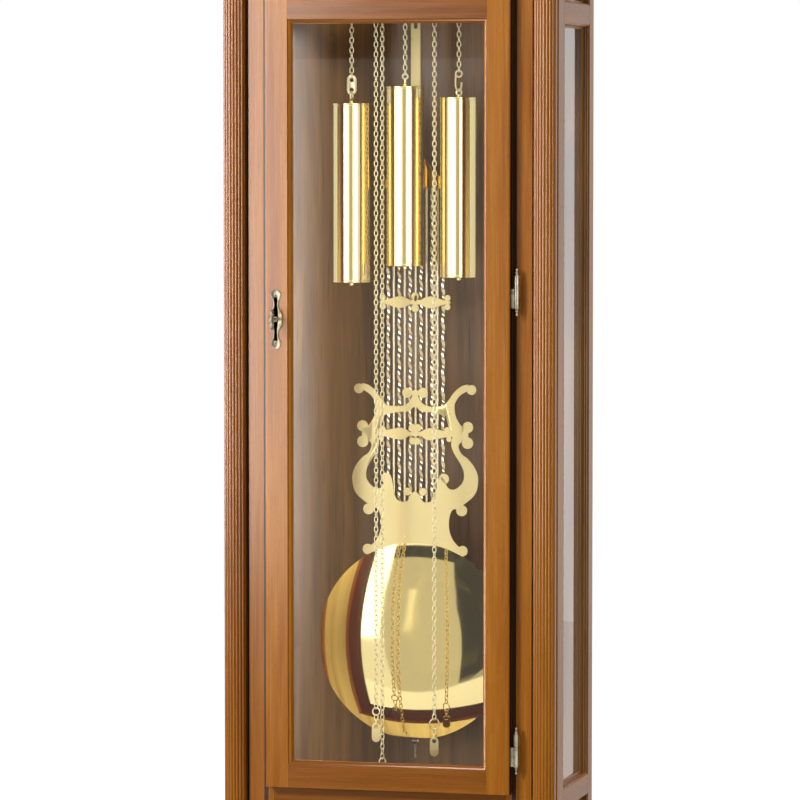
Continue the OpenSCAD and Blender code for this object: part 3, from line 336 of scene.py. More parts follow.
def welded(name, bevel, cuts):
    """A copy of a CAD node's mesh with its edges eased, cut at some x."""
    work = work_copy(name)
    if bevel:
        ease_edges(work, bevel, math.radians(SHARP_ANGLE))
    for x in cuts:
        bmesh.ops.bisect_plane(work, geom=work.verts[:] + work.edges[:] + work.faces[:],
                               plane_co=(x, 0, 0), plane_no=X_AXIS)
    return saved(work, name)


def even_shading(obj):
    """Keeps large faces flat where their edges are eased."""
    modifier = obj.modifiers.new("even_shading", "WEIGHTED_NORMAL")
    modifier.keep_sharp = True
    modifier.weight = 90


def smooth(mesh, angle):
    """Smooth shading that keeps edges sharper than an angle."""
    for face in mesh.polygons:
        face.use_smooth = True
    mesh.set_sharp_from_angle(angle=math.radians(angle))


def piece(name, mesh, materials, body, replaced=(), slot=None, angle=SHARP_ANGLE):
    """Adds a mesh as a piece that rides on a body and stands for CAD nodes."""
    if isinstance(materials, bpy.types.Material):
        materials = [materials]
    for material in materials:
        mesh.materials.append(material)
    smooth(mesh, angle)
    obj = bpy.data.objects.new(name, mesh)
    bpy.context.scene.collection.objects.link(obj)
    if body:
        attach(obj, body)
    if replaced:
        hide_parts(*replaced)
    if slot:
        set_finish(obj, slot)
    return obj


def eased(name, materials, slot, bevel=0.0, grain=None, cuts=()):
    """Stands an eased copy in for a CAD node; grain gives each face's material by its letter."""
    body = nodes[name]["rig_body"]
    mesh = welded(name, bevel, cuts)
    if grain:
        for face in mesh.polygons:
            face.material_index = WOOD_LETTERS.index(grain(face.center, face.normal))
    obj = piece(f"{name}_look", mesh, materials, body, [name], slot)
    if bevel:
        even_shading(obj)
    return obj


def mesh_of(name, verts, faces):
    """A mesh from points and faces."""
    mesh = bpy.data.meshes.new(name)
    mesh.from_pydata([tuple(v) for v in verts], [], faces)
    mesh.update()
    return mesh


def join(parts):
    """One list of points and faces from several."""
    verts, faces = [], []
    for more_verts, more_faces in parts:
        start = len(verts)
        verts += more_verts
        faces += [[i + start for i in face] for face in more_faces]
    return verts, faces


def moved(part, matrix):
    """Points and faces after a move."""
    return [matrix @ Vector(v) for v in part[0]], part[1]


def lathe(profile, sides):
    """Turns a profile of (radius, height) round +Z; ends at radius 0 become one point."""
    verts, faces, rings = [], [], []
    for radius, height in profile:
        if radius < 1e-9:
            rings.append([len(verts)])
            verts.append(Vector((0, 0, height)))
            continue
        rings.append(list(range(len(verts), len(verts) + sides)))
        for k in range(sides):
            turn = 2 * math.pi * k / sides
            verts.append(Vector((radius * math.cos(turn), radius * math.sin(turn), height)))
    for low, high in zip(rings, rings[1:]):
        for k in range(sides):
            after = (k + 1) % sides
            if len(low) == 1:
                faces.append([low[0], high[after], high[k]])
            elif len(high) == 1:
                faces.append([low[k], low[after], high[0]])
            else:
                faces.append([low[k], low[after], high[after], high[k]])
    return verts, faces


def loop_tube(path, radius, sides=8):
    """A round wire along a closed path in the XZ plane."""
    verts, faces = [], []
    count = len(path)
    for i, point in enumerate(path):
        along = (path[(i + 1) % count] - path[i - 1]).normalized()
        out = along.cross(Y_AXIS).normalized()
        for k in range(sides):
            turn = 2 * math.pi * k / sides
            verts.append(point + (out * math.cos(turn) + Y_AXIS * math.sin(turn)) * radius)
    for i in range(count):
        for k in range(sides):
            a, b = i * sides + k, i * sides + (k + 1) % sides
            c, d = (a + sides) % len(verts), (b + sides) % len(verts)
            faces.append([a, b, d, c])
    return verts, faces


def tube(path, radius, sides=10):
    """A round wire with closed ends along an open path in the XZ plane."""
    verts, faces = [], []
    last = len(path) - 1
    for i, point in enumerate(path):
        along = (path[min(i + 1, last)] - path[max(i - 1, 0)]).normalized()
        out = along.cross(Y_AXIS).normalized()
        for k in range(sides):
            turn = 2 * math.pi * k / sides
            verts.append(point + (out * math.cos(turn) + Y_AXIS * math.sin(turn)) * radius)
    for i in range(last):
        for k in range(sides):
            a, b = i * sides + k, i * sides + (k + 1) % sides
            faces.append([a, b, b + sides, a + sides])
    faces.append(list(range(sides))[::-1])
    faces.append(list(range(last * sides, (last + 1) * sides)))
    return verts, faces


def curve_through(points, steps):
    """Points along a smooth curve through a list of points."""
    curve = []
    last = len(points) - 1
    for i in range(last):
        before, a, b, after = points[max(i - 1, 0)], points[i], points[i + 1], points[min(i + 2, last)]
        for k in range(steps):
            t = k / steps
            curve.append(0.5 * (2 * a + (b - before) * t + (2 * before - 5 * a + 4 * b - after) * t ** 2
                                + (3 * a - before - 3 * b + after) * t ** 3))
    return curve + [points[last]]


def oval(half_width, half_height, steps):
    """Points of a round-ended slot in the XZ plane, round the origin."""
    points = []
    rise = half_height - half_width
    for side in (1, -1):
        for k in range(steps + 1):
            turn = math.pi * k / steps
            points.append(Vector((
                side * half_width * math.cos(turn), 0,
                side * (rise + half_width * math.sin(turn)),
            )))
    return points


def circle(radius, height, steps):
    """Points of a circle in the XZ plane, at a height above the origin."""
    turns = [2 * math.pi * k / steps for k in range(steps)]
    return [Vector((radius * math.cos(a), 0, height + radius * math.sin(a))) for a in turns]


def ring_wire(radius, wire, steps=36, sides=10):
    """A round wire ring in the XZ plane."""
    return loop_tube(circle(radius, 0, steps), wire, sides)


# Wood: grain runs along stiles, posts and panels, and across rails

WOOD = [case_wood[a] for a in AXES] + [painted_shade_wood, raw_wood, post_wood, shaded_wood]
PAINTED_SHADE, RAW, POST, SHADED = "D", "R", "P", "S"
WOOD_LETTERS = AXES + PAINTED_SHADE + RAW + POST + SHADED
EASE = 0.7 * MM
CASE_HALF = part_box("corner_posts")[1].x
FACE_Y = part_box("face_rails")[0].y
OVERHANG_FRONT = FACE_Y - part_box("plinth")[0].y
OVERHANG_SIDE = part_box("plinth")[1].x - CASE_HALF


def upright(place, normal):
    return "Z"


GROOVE_STEP = 1 * MM
DOOR_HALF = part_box("door_stiles")[1].x
# Width of the painted shadow that the door casts on each face stile.
DOOR_SHADOW = 5.5 * MM
DOOR_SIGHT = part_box("door_rails")[1].x
SIDE_INSET = 19 * MM
BEAD_W = 7 * MM


def stile_grain(place, normal):
    """Face stiles: upright grain, raw wood inside, and painted shade for the door's shadow beside the door
    and in the groove by each post.
    """
    if normal.y > 0.9:
        return RAW
    # Painted shadow of the door on the stile's front, beside the door.
    if normal.y < -0.9 and DOOR_HALF < abs(place.x) < DOOR_HALF + DOOR_SHADOW:
        return PAINTED_SHADE
    # Painted shade in the groove beside each post.
    return PAINTED_SHADE if FACE_Y + GROOVE_STEP < place.y < FACE_Y + 4 * GROOVE_STEP else "Z"


def door_edge(place, normal):
    """Door stiles: upright grain, with painted shade on the outer edges, where the door's sides lie in
    shadow.
    """
    return PAINTED_SHADE if abs(normal.x) > 0.9 and abs(place.x) > DOOR_SIGHT + 10 * MM else "Z"


def sideways(place, normal):
    return "X"


def post_grain(place, normal):
    """Corner posts: even upright grain."""
    return POST


def rail_grain(place, normal):
    """Face rails: level grain, and raw wood inside."""
    return RAW if normal.y > 0.9 else "X"


def is_inside(place, normal):
    """True for a side frame's faces that look into the case."""
    looks_in = normal.x * place.x < 0 and abs(normal.x) > 0.9
    return looks_in and abs(place.x) < CASE_HALF - SIDE_INSET


def inner_side(place, normal):
    """Side stiles: upright grain, raw wood inside and darker wood on the rear one's edge."""
    if normal.y < -0.3 and place.y > 0:
        return SHADED
    return RAW if is_inside(place, normal) else "Z"


def front_to_back(place, normal):
    """Side rails: level grain from front to back, and raw wood inside."""
    return RAW if is_inside(place, normal) else "Y"


def moulding_grain(place, normal):
    """Mitred mouldings: X in front of the mitre and Y beside it."""
    ahead = (FACE_Y - place.y) / OVERHANG_FRONT
    aside = (abs(place.x) - CASE_HALF) / OVERHANG_SIDE
    return "X" if ahead > aside else "Y"


def door_bead_grain(place, normal):
    """Upright bars at the window's sides, level ones above and below."""
    return "Z" if abs(place.x) > DOOR_SIGHT - BEAD_W and abs(normal.z) < 0.5 else "X"


SIDE_LO, SIDE_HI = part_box("side_beads")


def side_bead_grain(place, normal):
    """Upright bars at the front and rear of a side opening, level ones between them."""
    if normal.y < -0.3 and place.y > 0:
        return SHADED
    upright_bar = min(place.y - SIDE_LO.y, SIDE_HI.y - place.y) < BEAD_W and abs(normal.z) < 0.5
    return "Z" if upright_bar else "Y"


WOOD_NODES = [
    ("plinth", moulding_grain, EASE), ("cornice", moulding_grain, EASE),
    ("top_board", sideways, EASE), ("floor_board", sideways, EASE),
    ("face_stiles", stile_grain, 0.4 * MM), ("face_rails", rail_grain, 0.4 * MM),
    ("base_panel", upright, 0.4 * MM), ("corner_posts", post_grain, 0),
    ("side_stiles", inner_side, EASE), ("side_rails", front_to_back, 0.4 * MM),
    ("side_beads", side_bead_grain, 0), ("side_panels", upright, 0.3 * MM),
    ("seat_board", sideways, EASE), ("door_stiles", door_edge, 0.6 * MM),
    ("door_rails", sideways, 0.25 * MM), ("door_beads", door_bead_grain, 0),
]
# The face stiles are cut where the painted door shadow starts and ends.
STILE_CUTS = [side * (DOOR_HALF + step) for side in (-1, 1) for step in (0, DOOR_SHADOW)]
for node_name, rule, bevel in WOOD_NODES:
    eased(node_name, WOOD, "case_wood", bevel, rule, STILE_CUTS if rule == stile_grain else ())
eased("back_panel", back_wood, "back_wood", EASE)

# Metal nodes whose shapes stay, with eased edges
for node_name, material, slot_name, bevel in [
    ("hinge_leaves_case", old_brass, "old_brass", 0.15 * MM),
    ("hinge_leaves_door", old_brass, "old_brass", 0.15 * MM),
    ("lock_case", movement, "movement_brass", 0.3 * MM),
    ("latch_tongue", movement, "movement_brass", 0.2 * MM),
    ("key", old_brass, "old_brass", 0.35 * MM),
    ("movement_plates", movement, "movement_brass", 0.3 * MM),
    ("pillars", movement, "movement_brass", 0.2 * MM),
    ("suspension_cock", movement, "movement_brass", 0.3 * MM),
    ("hammer_bracket", movement, "movement_brass", 0.2 * MM),
    ("hammers", movement, "movement_brass", 0.2 * MM),
    ("anchor_crutch", movement, "movement_brass", 0.15 * MM),
    ("escape_wheel", movement, "movement_brass", 0.1 * MM),
    ("chain_wheel_left", movement, "movement_brass", 0.1 * MM),
    ("chain_wheel_mid", movement, "movement_brass", 0.1 * MM),
    ("chain_wheel_right", movement, "movement_brass", 0.1 * MM),
    ("pendulum_strip", brushed, "satin_brass", 0.2 * MM),
    ("rod_bracket", polished, "polished_brass", 0.25 * MM),
    ("plain_rods", silvery, "polished_brass", 0.3 * MM),
    ("cross_bar", brushed, "satin_brass", 0),
    ("lyre", brushed, "satin_brass", 0),
    ("bob_back", movement, "movement_brass", 0.4 * MM),
    ("rating_rod", old_brass, "old_brass", 0.2 * MM),
    ("rating_nut", old_brass, "old_brass", 0.2 * MM),
    ("chime_block", iron, "cast_iron", 0.8 * MM),
    ("chime_rods", satin, "satin_brass", 0.2 * MM),
    ("dial_plate", brushed, "satin_brass", 0.3 * MM),
    ("chapter_ring", enamel, "dial_white", 0.3 * MM),
    ("numerals", paint, "black_paint", 0),
    ("minute_hand", paint, "black_paint", 0.1 * MM),
    ("hour_hand", paint, "black_paint", 0.1 * MM),
]:
    eased(node_name, material, slot_name, bevel)

for node_name in ("door_glass_lower", "door_glass_upper"):
    eased(node_name, door_glass, "glass", 0.0)
eased("side_glass", side_glass, "glass", 0.0)


# Keyhole plate: a pillowed relief on the CAD outline

def keyhole_plate():
    """The plate's front is drawn in and raised in steps, so its edges are round."""
    work = work_copy("escutcheon")
    front = [f for f in work.faces if f.normal.y < -0.9]
    for thickness, depth in ((0.35 * MM, 0.0), (0.45 * MM, -0.3 * MM), (0.6 * MM, -0.25 * MM)):
        bmesh.ops.inset_region(work, faces=front, thickness=thickness, depth=depth)
    piece("escutcheon_look", saved(work, "escutcheon"), old_brass, "door", ["escutcheon"], "old_brass", 60)


keyhole_plate()

# Weights

WEIGHT_SIDES = 128
WEIGHT_H = 230 * MM
WEIGHT_RIM, RIM_H = 0.5 * MM, 3 * MM
NUT_H = 4.5 * MM
STEM_R, STEM_H, STEM_LOW = 1.5 * MM, 9 * MM, 4.2 * MM
EYE_WIRE = 1.3 * MM
EYES = {"left": (9.4 * MM, 6 * MM), "mid": (12.5 * MM, 3.3 * MM), "right": (5.9 * MM, 4.2 * MM)}
EYE_TURNS = {"left": 90, "mid": 0, "right": 55}
PLATE_R, HOLE_R, HOLE_STEP, PLATE_Z = 6.5 * MM, 2.8 * MM, 12.8 * MM, 17.1 * MM
PLATE_T, PLATE_SHARP = 1.8 * MM, 52
HOOK_Z, HOOK_R = 30 * MM, 4 * MM
HOOK_PATH = [(-4, 30), (-4.4, 22), (-4.4, 16), (-3.6, 12), (-1.8, 8.6), (0.2, 7.6), (1.9, 9),
             (2.9, 12.5), (3.4, 16), (3.2, 19)]
HOOK_TOP = {
    "left": PLATE_Z + HOLE_STEP + PLATE_R, "mid": sum(EYES["mid"]) + EYE_WIRE,
    "right": HOOK_Z + HOOK_R + EYE_WIRE,
}
NAMES = ("left", "mid", "right")


def weight_profile(radius, stem):
    """Cylinder with a rounded rim at each end, a small nut below and a boss with a stem above."""
    rim = radius + WEIGHT_RIM
    end = [(rim - 0.7 * MM, 0), (rim - 0.2 * MM, 0.2 * MM), (rim, 0.8 * MM), (rim, 1.7 * MM),
           (rim - 0.2 * MM, RIM_H - 0.6 * MM), (radius, RIM_H)]
    return [
        (0, -NUT_H), (2 * MM, -NUT_H), (2.8 * MM, -NUT_H + 0.7 * MM), (3 * MM, -1.6 * MM),
        (2.4 * MM, -0.6 * MM), (4 * MM, 0), *end, *[(r, WEIGHT_H - z) for r, z in reversed(end)],
        (5 * MM, WEIGHT_H), (2.6 * MM, WEIGHT_H + 0.7 * MM), (3 * MM, WEIGHT_H + 2 * MM),
        (2.6 * MM, WEIGHT_H + 3.4 * MM), (STEM_R, WEIGHT_H + 4 * MM), (STEM_R, WEIGHT_H + stem),
        (0, WEIGHT_H + stem),
    ]


def flat_plate(paths, thickness, place):
    """Work mesh of a plate in the XZ plane, from its outline and its holes."""
    work = bmesh.new()
    loops = []
    for path in paths:
        verts = [work.verts.new(p) for p in path]
        loops += [work.edges.new((verts[k - 1], verts[k])) for k in range(len(verts))]
    bmesh.ops.triangle_fill(work, use_beauty=True, use_dissolve=True, edges=loops)
    grown = bmesh.ops.extrude_face_region(work, geom=work.faces[:])
    new_verts = [v for v in grown["geom"] if isinstance(v, bmesh.types.BMVert)]
    bmesh.ops.translate(work, verts=new_verts, vec=(0, thickness, 0))
    bmesh.ops.translate(work, verts=work.verts, vec=place - Vector((0, thickness / 2, 0)))
    bmesh.ops.recalc_face_normals(work, faces=work.faces)
    return work


def hook_plate(name, place):
    """Flat plate with round ends and a hole near each end, eased all round."""
    outline = oval(PLATE_R, PLATE_R + HOLE_STEP / 2, 16)
    holes = [circle(HOLE_R, side * HOLE_STEP / 2, 24) for side in (-1, 1)]
    work = flat_plate((outline, *holes), PLATE_T, place)
    ease_edges(work, 0.3 * MM, math.radians(PLATE_SHARP))
    return saved(work, name)


def add_weight(side):
    """A weight's tube and eye with its plate or hook. Gives the place where the chain holds it."""
    node = f"weight_{side}"
    lo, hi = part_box(node)
    middle = centre(node)
    radius = (hi.x - lo.x) / 2 - WEIGHT_RIM
    foot = Vector((middle.x, middle.y, lo.z + NUT_H))
    top = foot + Vector((0, 0, WEIGHT_H))
    stem = STEM_H if side == "mid" else STEM_LOW
    tube_part = moved(lathe(weight_profile(radius, stem), WEIGHT_SIDES), Matrix.Translation(foot))
    piece(f"{node}_tube", mesh_of(node, *tube_part), soft_brass, node, [node], "polished_brass", 25)
    eye_z, eye_r = EYES[side]
    eye_turn = Matrix.Rotation(math.radians(EYE_TURNS[side]), 4, "Z")
    place = Matrix.Translation(top + Vector((0, 0, eye_z)))
    parts = [moved(ring_wire(eye_r, EYE_WIRE), place @ eye_turn)]
    if side == "right":
        ring_place = Matrix.Translation(top + Vector((0, 0, HOOK_Z)))
        parts.append(moved(ring_wire(HOOK_R, EYE_WIRE * 1.1), ring_place))
        path = curve_through([Vector((x * MM, 0, z * MM)) for x, z in HOOK_PATH], 4)
        parts.append(moved(tube(path, EYE_WIRE), Matrix.Translation(top)))
    piece(f"{node}_hook", mesh_of(f"{node}_hook", *join(parts)), chain_brass, node,
          slot="chain_brass")
    bite = 2 * EYE_WIRE
    if side == "left":
        plate_middle = top + Vector((0, 0, PLATE_Z + HOLE_STEP / 2))
        piece(f"{node}_plate", hook_plate(f"{node}_plate", plate_middle), chain_brass, node,
              slot="chain_brass")
        bite = PLATE_R - HOLE_R
    return top + Vector((0, 0, HOOK_TOP[side] - bite))


hook_tops = {side: add_weight(side) for side in NAMES}

# Chains of alternating round-ended links

LINK_PITCH = 6.35 * MM
LINK_WIRE = 0.68 * MM
LINK_HALF_W = 3 * MM - LINK_WIRE
LINK_HALF_H = LINK_PITCH / 2 + LINK_WIRE
LINK_STEPS = 9
RING_RS = {"left": 4.7 * MM, "mid": 4.7 * MM, "right": 6.8 * MM}
RING_TURNS = {"left": 0, "mid": 45, "right": 40}
RING_WIRE = 1 * MM
TAG_R, TAG_STEP, TAG_T = 5.7 * MM, 13.8 * MM, 1.2 * MM
TAG_HOLE_R, TAG_HOLE_RISE, TAG_LINKS = 2.9 * MM, 0.5 * MM, 2
link_shape = loop_tube(oval(LINK_HALF_W, LINK_HALF_H, LINK_STEPS), LINK_WIRE, 8)


def chain(path_at, length, twist, edge_on=0):
    """Links along a path: path_at(s) gives a point and the path's direction there, twist how far
    the first and the last link are turned, and edge_on is 1 where the first stands edge-on."""
    count = max(1, round(length / LINK_PITCH))
    step = length / count
    parts = []
    for i in range(count):
        point, along = path_at((i + 0.5) * step)
        across = along.cross(Y_AXIS).normalized()
        slow = twist[0] + (twist[1] - twist[0]) * (i + 0.5) / count
        turned = Matrix.Rotation(slow + math.pi / 2 * ((i + edge_on) % 2), 4, along)
        basis = Matrix((across, Y_AXIS, along)).transposed().to_4x4()
        parts.append(moved(link_shape, Matrix.Translation(point) @ turned @ basis))
    return join(parts)


def add_chains(side, twist):
    """The strand from a weight over its wheel, and the free strand with its ring."""
    wheel = centre(f"chain_wheel_{side}")
    wheel_z = wheel.z
    hook = hook_tops[side]
    free_lo, free_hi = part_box(f"free_chain_{side}")
    free_x = (free_lo.x + free_hi.x) / 2
    chain_y = hook.y
    wheel_x = (hook.x + free_x) / 2
    bend_r = abs(hook.x - free_x) / 2
    rise = wheel_z - hook.z
    bend = math.pi * bend_r
    outward = 1 if hook.x > free_x else -1

    def over_wheel(s):
        if s < rise:
            return Vector((hook.x, chain_y, hook.z + s)), Z_AXIS
        turn = min((s - rise) / bend_r, math.pi)
        place = Vector((wheel_x + outward * bend_r * math.cos(turn), chain_y,
                        wheel_z + bend_r * math.sin(turn)))
        return place, Vector((-outward * math.sin(turn), 0, math.cos(turn)))

    upper = piece(f"weight_chain_{side}", mesh_of(f"weight_chain_{side}", *chain(
        over_wheel, rise + bend, (twist[1], twist[1]), 1)), chain_brass, None, (), "chain_brass", 60)
    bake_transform(upper)
    has_tag = side != "mid"
    ring_r = RING_RS[side]
    tag_gap = TAG_LINKS * LINK_PITCH
    ring_z = free_lo.z + ring_r + RING_WIRE
    if has_tag:
        ring_z = free_lo.z + TAG_STEP + TAG_R + TAG_HOLE_R + tag_gap + ring_r
    foot = ring_z + ring_r - LINK_WIRE

    def free_path(s):
        return Vector((free_x, chain_y, foot + s)), Z_AXIS

    lower = piece(f"free_links_{side}", mesh_of(f"free_links_{side}", *chain(
        free_path, wheel_z - foot, twist)), chain_brass, None,
        [f"free_chain_{side}"], "chain_brass", 60)
    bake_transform(lower)
    at_ring = Matrix.Translation((free_x, chain_y, ring_z))
    at_ring = at_ring @ Matrix.Rotation(math.radians(RING_TURNS[side]), 4, "Z")
    parts = [moved(ring_wire(ring_r, RING_WIRE), at_ring)]
    if has_tag:
        low = ring_z - ring_r - tag_gap

        def tag_path(s):
            return Vector((free_x, chain_y, low + s)), Z_AXIS

        parts.append(chain(tag_path, tag_gap, (0.15, 0.15), 1))
        top = Vector((free_x, chain_y, low - TAG_HOLE_R))
        piece(f"tag_{side}", tag_mesh(f"tag_{side}", top), brushed, f"free_{side}",
              slot="polished_brass")
    piece(f"end_ring_{side}", mesh_of(f"end_ring_{side}", *join(parts)), chain_brass,
          f"free_{side}", slot="chain_brass")


def tag_mesh(name, top):
    """Oval tag with a small hole under its upper end."""
    outline = [p + Vector((0, 0, -TAG_STEP / 2)) for p in oval(TAG_R, TAG_R + TAG_STEP / 2, 16)]
    hole = circle(TAG_HOLE_R, TAG_HOLE_RISE, 20)
    return saved(flat_plate((outline, hole), TAG_T, top), name)


# Slow turn of each free strand from its ring to its wheel, so no link meets the next strand's tag
STRAND_TWIST = ((0.75, 0.55), (0.8, 0.6), (0.7, 0.5))
for side_name, side_twist in zip(NAMES, STRAND_TWIST):
    add_chains(side_name, side_twist)
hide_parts("weight_chains")

# Pendulum: the domed bob and the twisted rods

BOB_EDGE = 0.6 * MM
BOB_POWER = 3.3


def add_bob():
    """A dome that is nearly flat in the middle and steepens to a turned-in edge."""
    lo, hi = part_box("bob")
    radius = (hi.x - lo.x) / 2
    rise = hi.y - lo.y - BOB_EDGE
    rings = 64
    profile = [(radius - 4 * MM, 0), (radius - 0.5 * MM, 0), (radius - 0.1 * MM, 0.2 * MM)]
    for k in range(rings, -1, -1):
        profile.append((radius * k / rings, BOB_EDGE + rise * (1 - (k / rings) ** BOB_POWER)))
    place = Matrix.Translation((0, hi.y, centre("bob").z)) @ Matrix.Rotation(math.pi / 2, 4, "X")
    verts, faces = moved(lathe(profile, 192), place)
    piece("bob_dome", mesh_of("bob_dome", verts, faces), polished, "pendulum", ["bob"],
          "polished_brass", 40)


add_bob()

TWIST_PITCH = 90 * MM
TWIST_R, TWIST_FLAT = 2.5 * MM, 1.85 * MM
TWIST_STEP = 2 * MM
TWIST_PLACES = (-5, -3, -1, 1, 3, 5)


def add_twisted_rods():
    """Square bars twisted along their length, between the plain rods."""
    lo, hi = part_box("twisted_rods")
    pitch = (hi.x - lo.x - 2 * TWIST_R) / 10
    y = (lo.y + hi.y) / 2
    steps = round((hi.z - lo.z) / TWIST_STEP)
    section = 24
    outline = []
    for k in range(section):
        a = 2 * math.pi * k / section
        outline.append((a, min(TWIST_FLAT / max(abs(math.cos(a)), abs(math.sin(a))), TWIST_R)))
    parts = []
    for number, place in enumerate(TWIST_PLACES):
        verts, faces = [], []
        for i in range(steps + 1):
            z = lo.z + (hi.z - lo.z) * i / steps
            turn = 2 * math.pi * (z - lo.z) / TWIST_PITCH + number * 0.35
            for a, r in outline:
                verts.append(Vector((
                    place * pitch + r * math.cos(a + turn), y + r * math.sin(a + turn), z,
                )))
        for i in range(steps):
            for k in range(section):
                a, b = i * section + k, i * section + (k + 1) % section
                faces.append([a, b, b + section, a + section])
        faces.append(list(range(section))[::-1])
        faces.append(list(range(steps * section, (steps + 1) * section)))
        parts.append((verts, faces))
    piece("twisted_rods_look", mesh_of("twisted_rods", *join(parts)), silvery, "pendulum",
          ["twisted_rods"], "polished_brass", 28)


add_twisted_rods()

# Studio: a pale floor, a white world that glossy and clear surfaces see, and cards that only
# reflections see

FLOOR_HALF = 6
DIFFUSE_WORLD = 0.3


def add_world():
    """White where the camera, a reflection or glass looks, softer as light on the clock."""
    world = bpy.data.worlds.new("studio")
    bpy.context.scene.world = world
    world.use_nodes = True
    tree = world.node_tree
    tree.nodes.clear()
    path = tree.nodes.new("ShaderNodeLightPath")
    seen = path.outputs["Is Camera Ray"]
    for ray in ("Is Glossy Ray", "Is Transmission Ray"):
        either = tree.nodes.new("ShaderNodeMath")
        either.operation = "MAXIMUM"
        tree.links.new(seen, either.inputs[0])
        tree.links.new(path.outputs[ray], either.inputs[1])
        seen = either.outputs[0]
    level = tree.nodes.new("ShaderNodeMapRange")
    tree.links.new(seen, level.inputs["Value"])
    level.inputs["To Min"].default_value = DIFFUSE_WORLD
    level.inputs["To Max"].default_value = 1.0
    background = tree.nodes.new("ShaderNodeBackground")
    background.inputs["Color"].default_value = (1, 1, 1, 1)
    tree.links.new(level.outputs[0], background.inputs["Strength"])
    out = tree.nodes.new("ShaderNodeOutputWorld")
    tree.links.new(background.outputs[0], out.inputs["Surface"])


def floor_material():
    """Pale floor that looks white and keeps the clock's shadow."""
    g = Graph("floor")
    ray = g.add("LightPath")
    mirrored = g.math("MAXIMUM", ray.outputs["Is Glossy Ray"], ray.outputs["Is Transmission Ray"])
    seen = g.math("MAXIMUM", ray.outputs["Is Camera Ray"], g.math("MULTIPLY", mirrored, 0.7))
    tone = g.mix(g.noise(g.coords(), 3), (0.6, 0.6, 0.6, 1), (0.58, 0.58, 0.58, 1))
    lit = g.add("BsdfDiffuse", {"Color": tone})
    glow = g.add("Emission", {"Color": (1, 1, 1, 1), "Strength": g.math("MULTIPLY", seen, 0.88)})
    return g.finish(g.add("AddShader", {0: lit.outputs[0], 1: glow.outputs[0]}).outputs[0])


def add_floor():
    """A large square floor at the clock's foot."""
    corners = [(x * FLOOR_HALF, y * FLOOR_HALF, 0) for x, y in ((-1, -1), (1, -1), (1, 1), (-1, 1))]
    mesh = mesh_of("floor", corners, [[0, 1, 2, 3]])
    mesh.materials.append(floor_material())
    floor = bpy.data.objects.new("floor", mesh)
    bpy.context.scene.collection.objects.link(floor)


def card(name, outline, y, level, tint=(1, 1, 1), feather=(0, 0, 0, 0)):
    """An upright studio card that only reflections see, from its (x, z) corners; feather softens
    left, right, low and high."""
    mesh = mesh_of(name, [(x, y, z) for x, z in outline], [list(range(len(outline)))])
    x0, x1 = min(x for x, z in outline), max(x for x, z in outline)
    z0, z1 = min(z for x, z in outline), max(z for x, z in outline)
    g = Graph(name)
    place = g.add("SeparateXYZ", {0: g.coords()})
    alpha = None
    for axis, edge, width, sign in (
        ("X", x0, feather[0], 1), ("X", x1, feather[1], -1),
        ("Z", z0, feather[2], 1), ("Z", z1, feather[3], -1),
    ):
        if width:
            fade = g.add("MapRange", {
                "Value": place.outputs[axis], "From Min": edge, "From Max": edge + sign * width,
            }, interpolation_type="SMOOTHSTEP").outputs[0]
            alpha = fade if alpha is None else g.math("MULTIPLY", alpha, fade)
    glow = g.add("Emission", {"Color": (*tint, 1), "Strength": level})
    shader = glow.outputs[0]
    if alpha is not None:
        clear = g.add("BsdfTransparent")
        shader = g.add("MixShader", {0: alpha, 1: clear.outputs[0], 2: shader}).outputs[0]
    mesh.materials.append(g.finish(shader))
    obj = bpy.data.objects.new(name, mesh)
    bpy.context.scene.collection.objects.link(obj)
    obj.visible_camera = False
    obj.visible_diffuse = False
    obj.visible_shadow = False
    obj.visible_transmission = False
    return obj


def box(x0, x1, z0, z1):
    """Corners of an upright rectangle."""
    return [(x0, z0), (x1, z0), (x1, z1), (x0, z1)]


def lamp(name, place, aim, size, power, colour=(1, 1, 1)):
    """A soft lamp that lights the clock and isn't mirrored in it."""
    data = bpy.data.lights.new(name, "AREA")
    data.shape = "RECTANGLE"
    data.size, data.size_y = size
    data.energy = power
    data.color = colour
    obj = bpy.data.objects.new(name, data)
    bpy.context.scene.collection.objects.link(obj)
    obj.location = place
    obj.rotation_euler = (Vector(aim) - Vector(place)).to_track_quat("-Z", "Y").to_euler()
    obj.visible_glossy = False
    obj.visible_camera = False
    return obj


def shine_only_on(light, receivers):
    """Limits a lamp to some pieces."""
    group = bpy.data.collections.new(f"{light.name}_receivers")
    for obj in receivers:
        group.objects.link(obj)
    light.light_linking.receiver_collection = group


def sheen(name, place, aim, size, power, receivers, colour=(1, 1, 1)):
    """A lamp that some pieces mirror and that doesn't light them otherwise."""
    light = lamp(name, place, aim, size, power, colour)
    light.visible_glossy = True
    light.visible_diffuse = False
    shine_only_on(light, receivers)


WALL_Y = -2.2
add_world()
add_floor()
WHITE_EDGE = [(-0.73, 0.38), (-0.75, 0.52), (-0.8, 0.75), (-0.83, 1.08), (-0.86, 1.39), (-0.9, 1.75)]
PALE_EDGE = [(-0.13, -0.12), (-0.18, 0.18), (-0.2, 0.37), (-0.19, 0.64), (-0.14, 0.82), (-0.03, 1.4)]
card("card_left", [(-2.8, 0.38), *WHITE_EDGE, (-1.3, 4.2), (-2.8, 4.2)], WALL_Y, 3.4)
card("card_middle", [(-1.6, -0.12), *PALE_EDGE, (-1.6, 1.4)], WALL_Y - 0.02, 0.7, (1, 0.96, 0.86))
card("card_streak", [(-0.575, 0.38), (-0.55, 0.38), (-0.54, 0.55), (-0.51, 0.78), (-0.58, 0.78)],
     WALL_Y + 0.02, 1.2, (1, 0.96, 0.8), (0.01, 0.01, 0.03, 0.05))
card("card_low", box(-3.1, -0.69, -0.9, 0.38), WALL_Y - 0.01, 1.1)
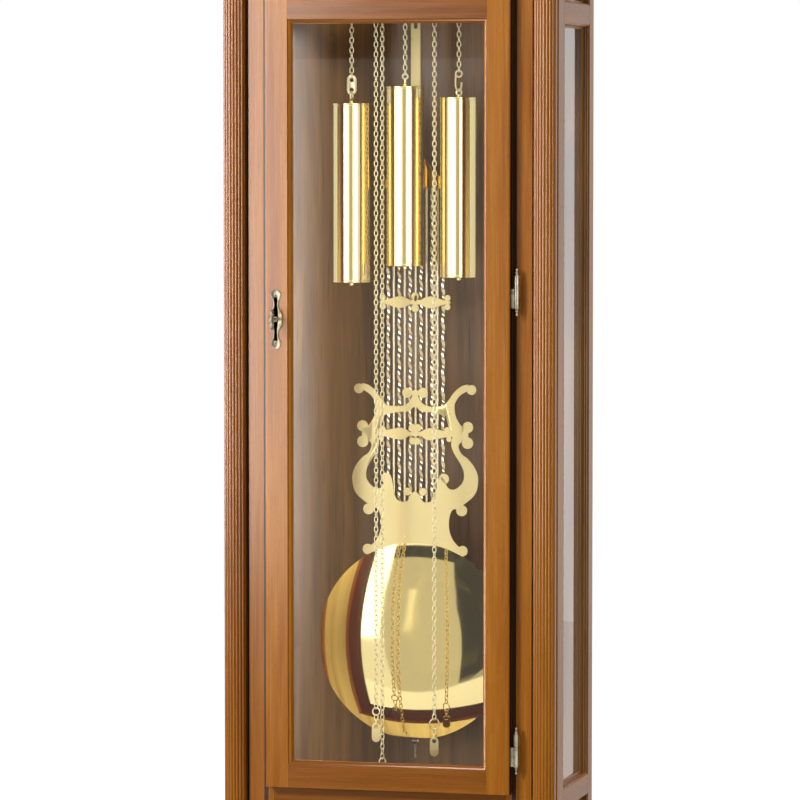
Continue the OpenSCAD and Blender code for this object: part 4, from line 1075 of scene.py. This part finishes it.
card("card_floor", box(-0.68, 1.6, -1.3, -0.11), WALL_Y + 0.01, 1.05)
card("card_dark", box(-1.6, 0.8, -0.12, 1.76), WALL_Y - 0.04, 0.05, feather=(0, 0, 0.2, 0))
card("card_taper", [(-0.5, -0.12), (0.9, -0.12), (0.9, 0.35), (0.24, 0.11), (-0.14, -0.04)],
     WALL_Y - 0.03, 0.5)
card("card_top", box(-1.6, 0.8, 1.75, 4.2), WALL_Y - 0.05, 1.3)
card("card_right", box(0.8, 2.6, 0.2, 4.2), WALL_Y - 0.06, 3.0, feather=(0.05, 0, 0.1, 0))
card("card_aside", box(-4.3, -2, -1, 0.75), WALL_Y + 0.03, 0.6, (0.97, 0.84, 0.6), (0, 0.1, 0, 0.1))
lamp("key_lamp", (-2.4, -3.0, 2.7), (0, 0, 1.0), (0.7, 0.7), 125)
lamp("fill_lamp", (1.2, -3.8, 1.7), (0, 0, 1.0), (1.6, 1.6), 16)
lamp("side_lamp", (2.8, -0.7, 1.5), (0.2, 0, 1.0), (1.0, 1.6), 12)
wood_pieces = [o for o in bpy.context.scene.objects if o.get("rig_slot") == "case_wood"]
sheen("sheen_front", (-1.16, -1.6, 1.7), (-1.16, 0, 1.7), (1.2, 2.2), 420, wood_pieces)
sheen("sheen_side", (-2.4, -0.6, 1.7), (0, -0.6, 1.7), (2.0, 2.2), 420, wood_pieces)
weight_tubes = [bpy.data.objects[f"weight_{side}_tube"] for side in NAMES]
LAMP_Y = WALL_Y + 0.05
sheen("weight_sheen", (-0.57, LAMP_Y, 1.05), (-0.57, 0, 1.05), (0.5, 0.9), 3.8, weight_tubes)
sheen("weight_tan", (0.23, LAMP_Y, 1.05), (0.23, 0, 1.05), (1.1, 0.9), 1.7, weight_tubes, (1, 0.9, 0.7))
window = lamp("window_lamp", (-0.5, -0.86, 1.2), (-0.19, 0.12, 1.2), (0.26, 1.3), 16)
window.visible_glossy = True
shine_only_on(window, [bpy.data.objects["back_panel_look"]])
inner = lamp("inner_lamp", (0, 0.11, 0.78), (0, -0.07, 0.78), (0.2, 0.7), 4.2)
shine_only_on(inner, [bpy.data.objects[f"{part}_look"] for part in (
    "face_stiles", "face_rails", "side_stiles", "side_rails")])
bpy.context.scene.view_settings.view_transform = "Standard"
add_camera()
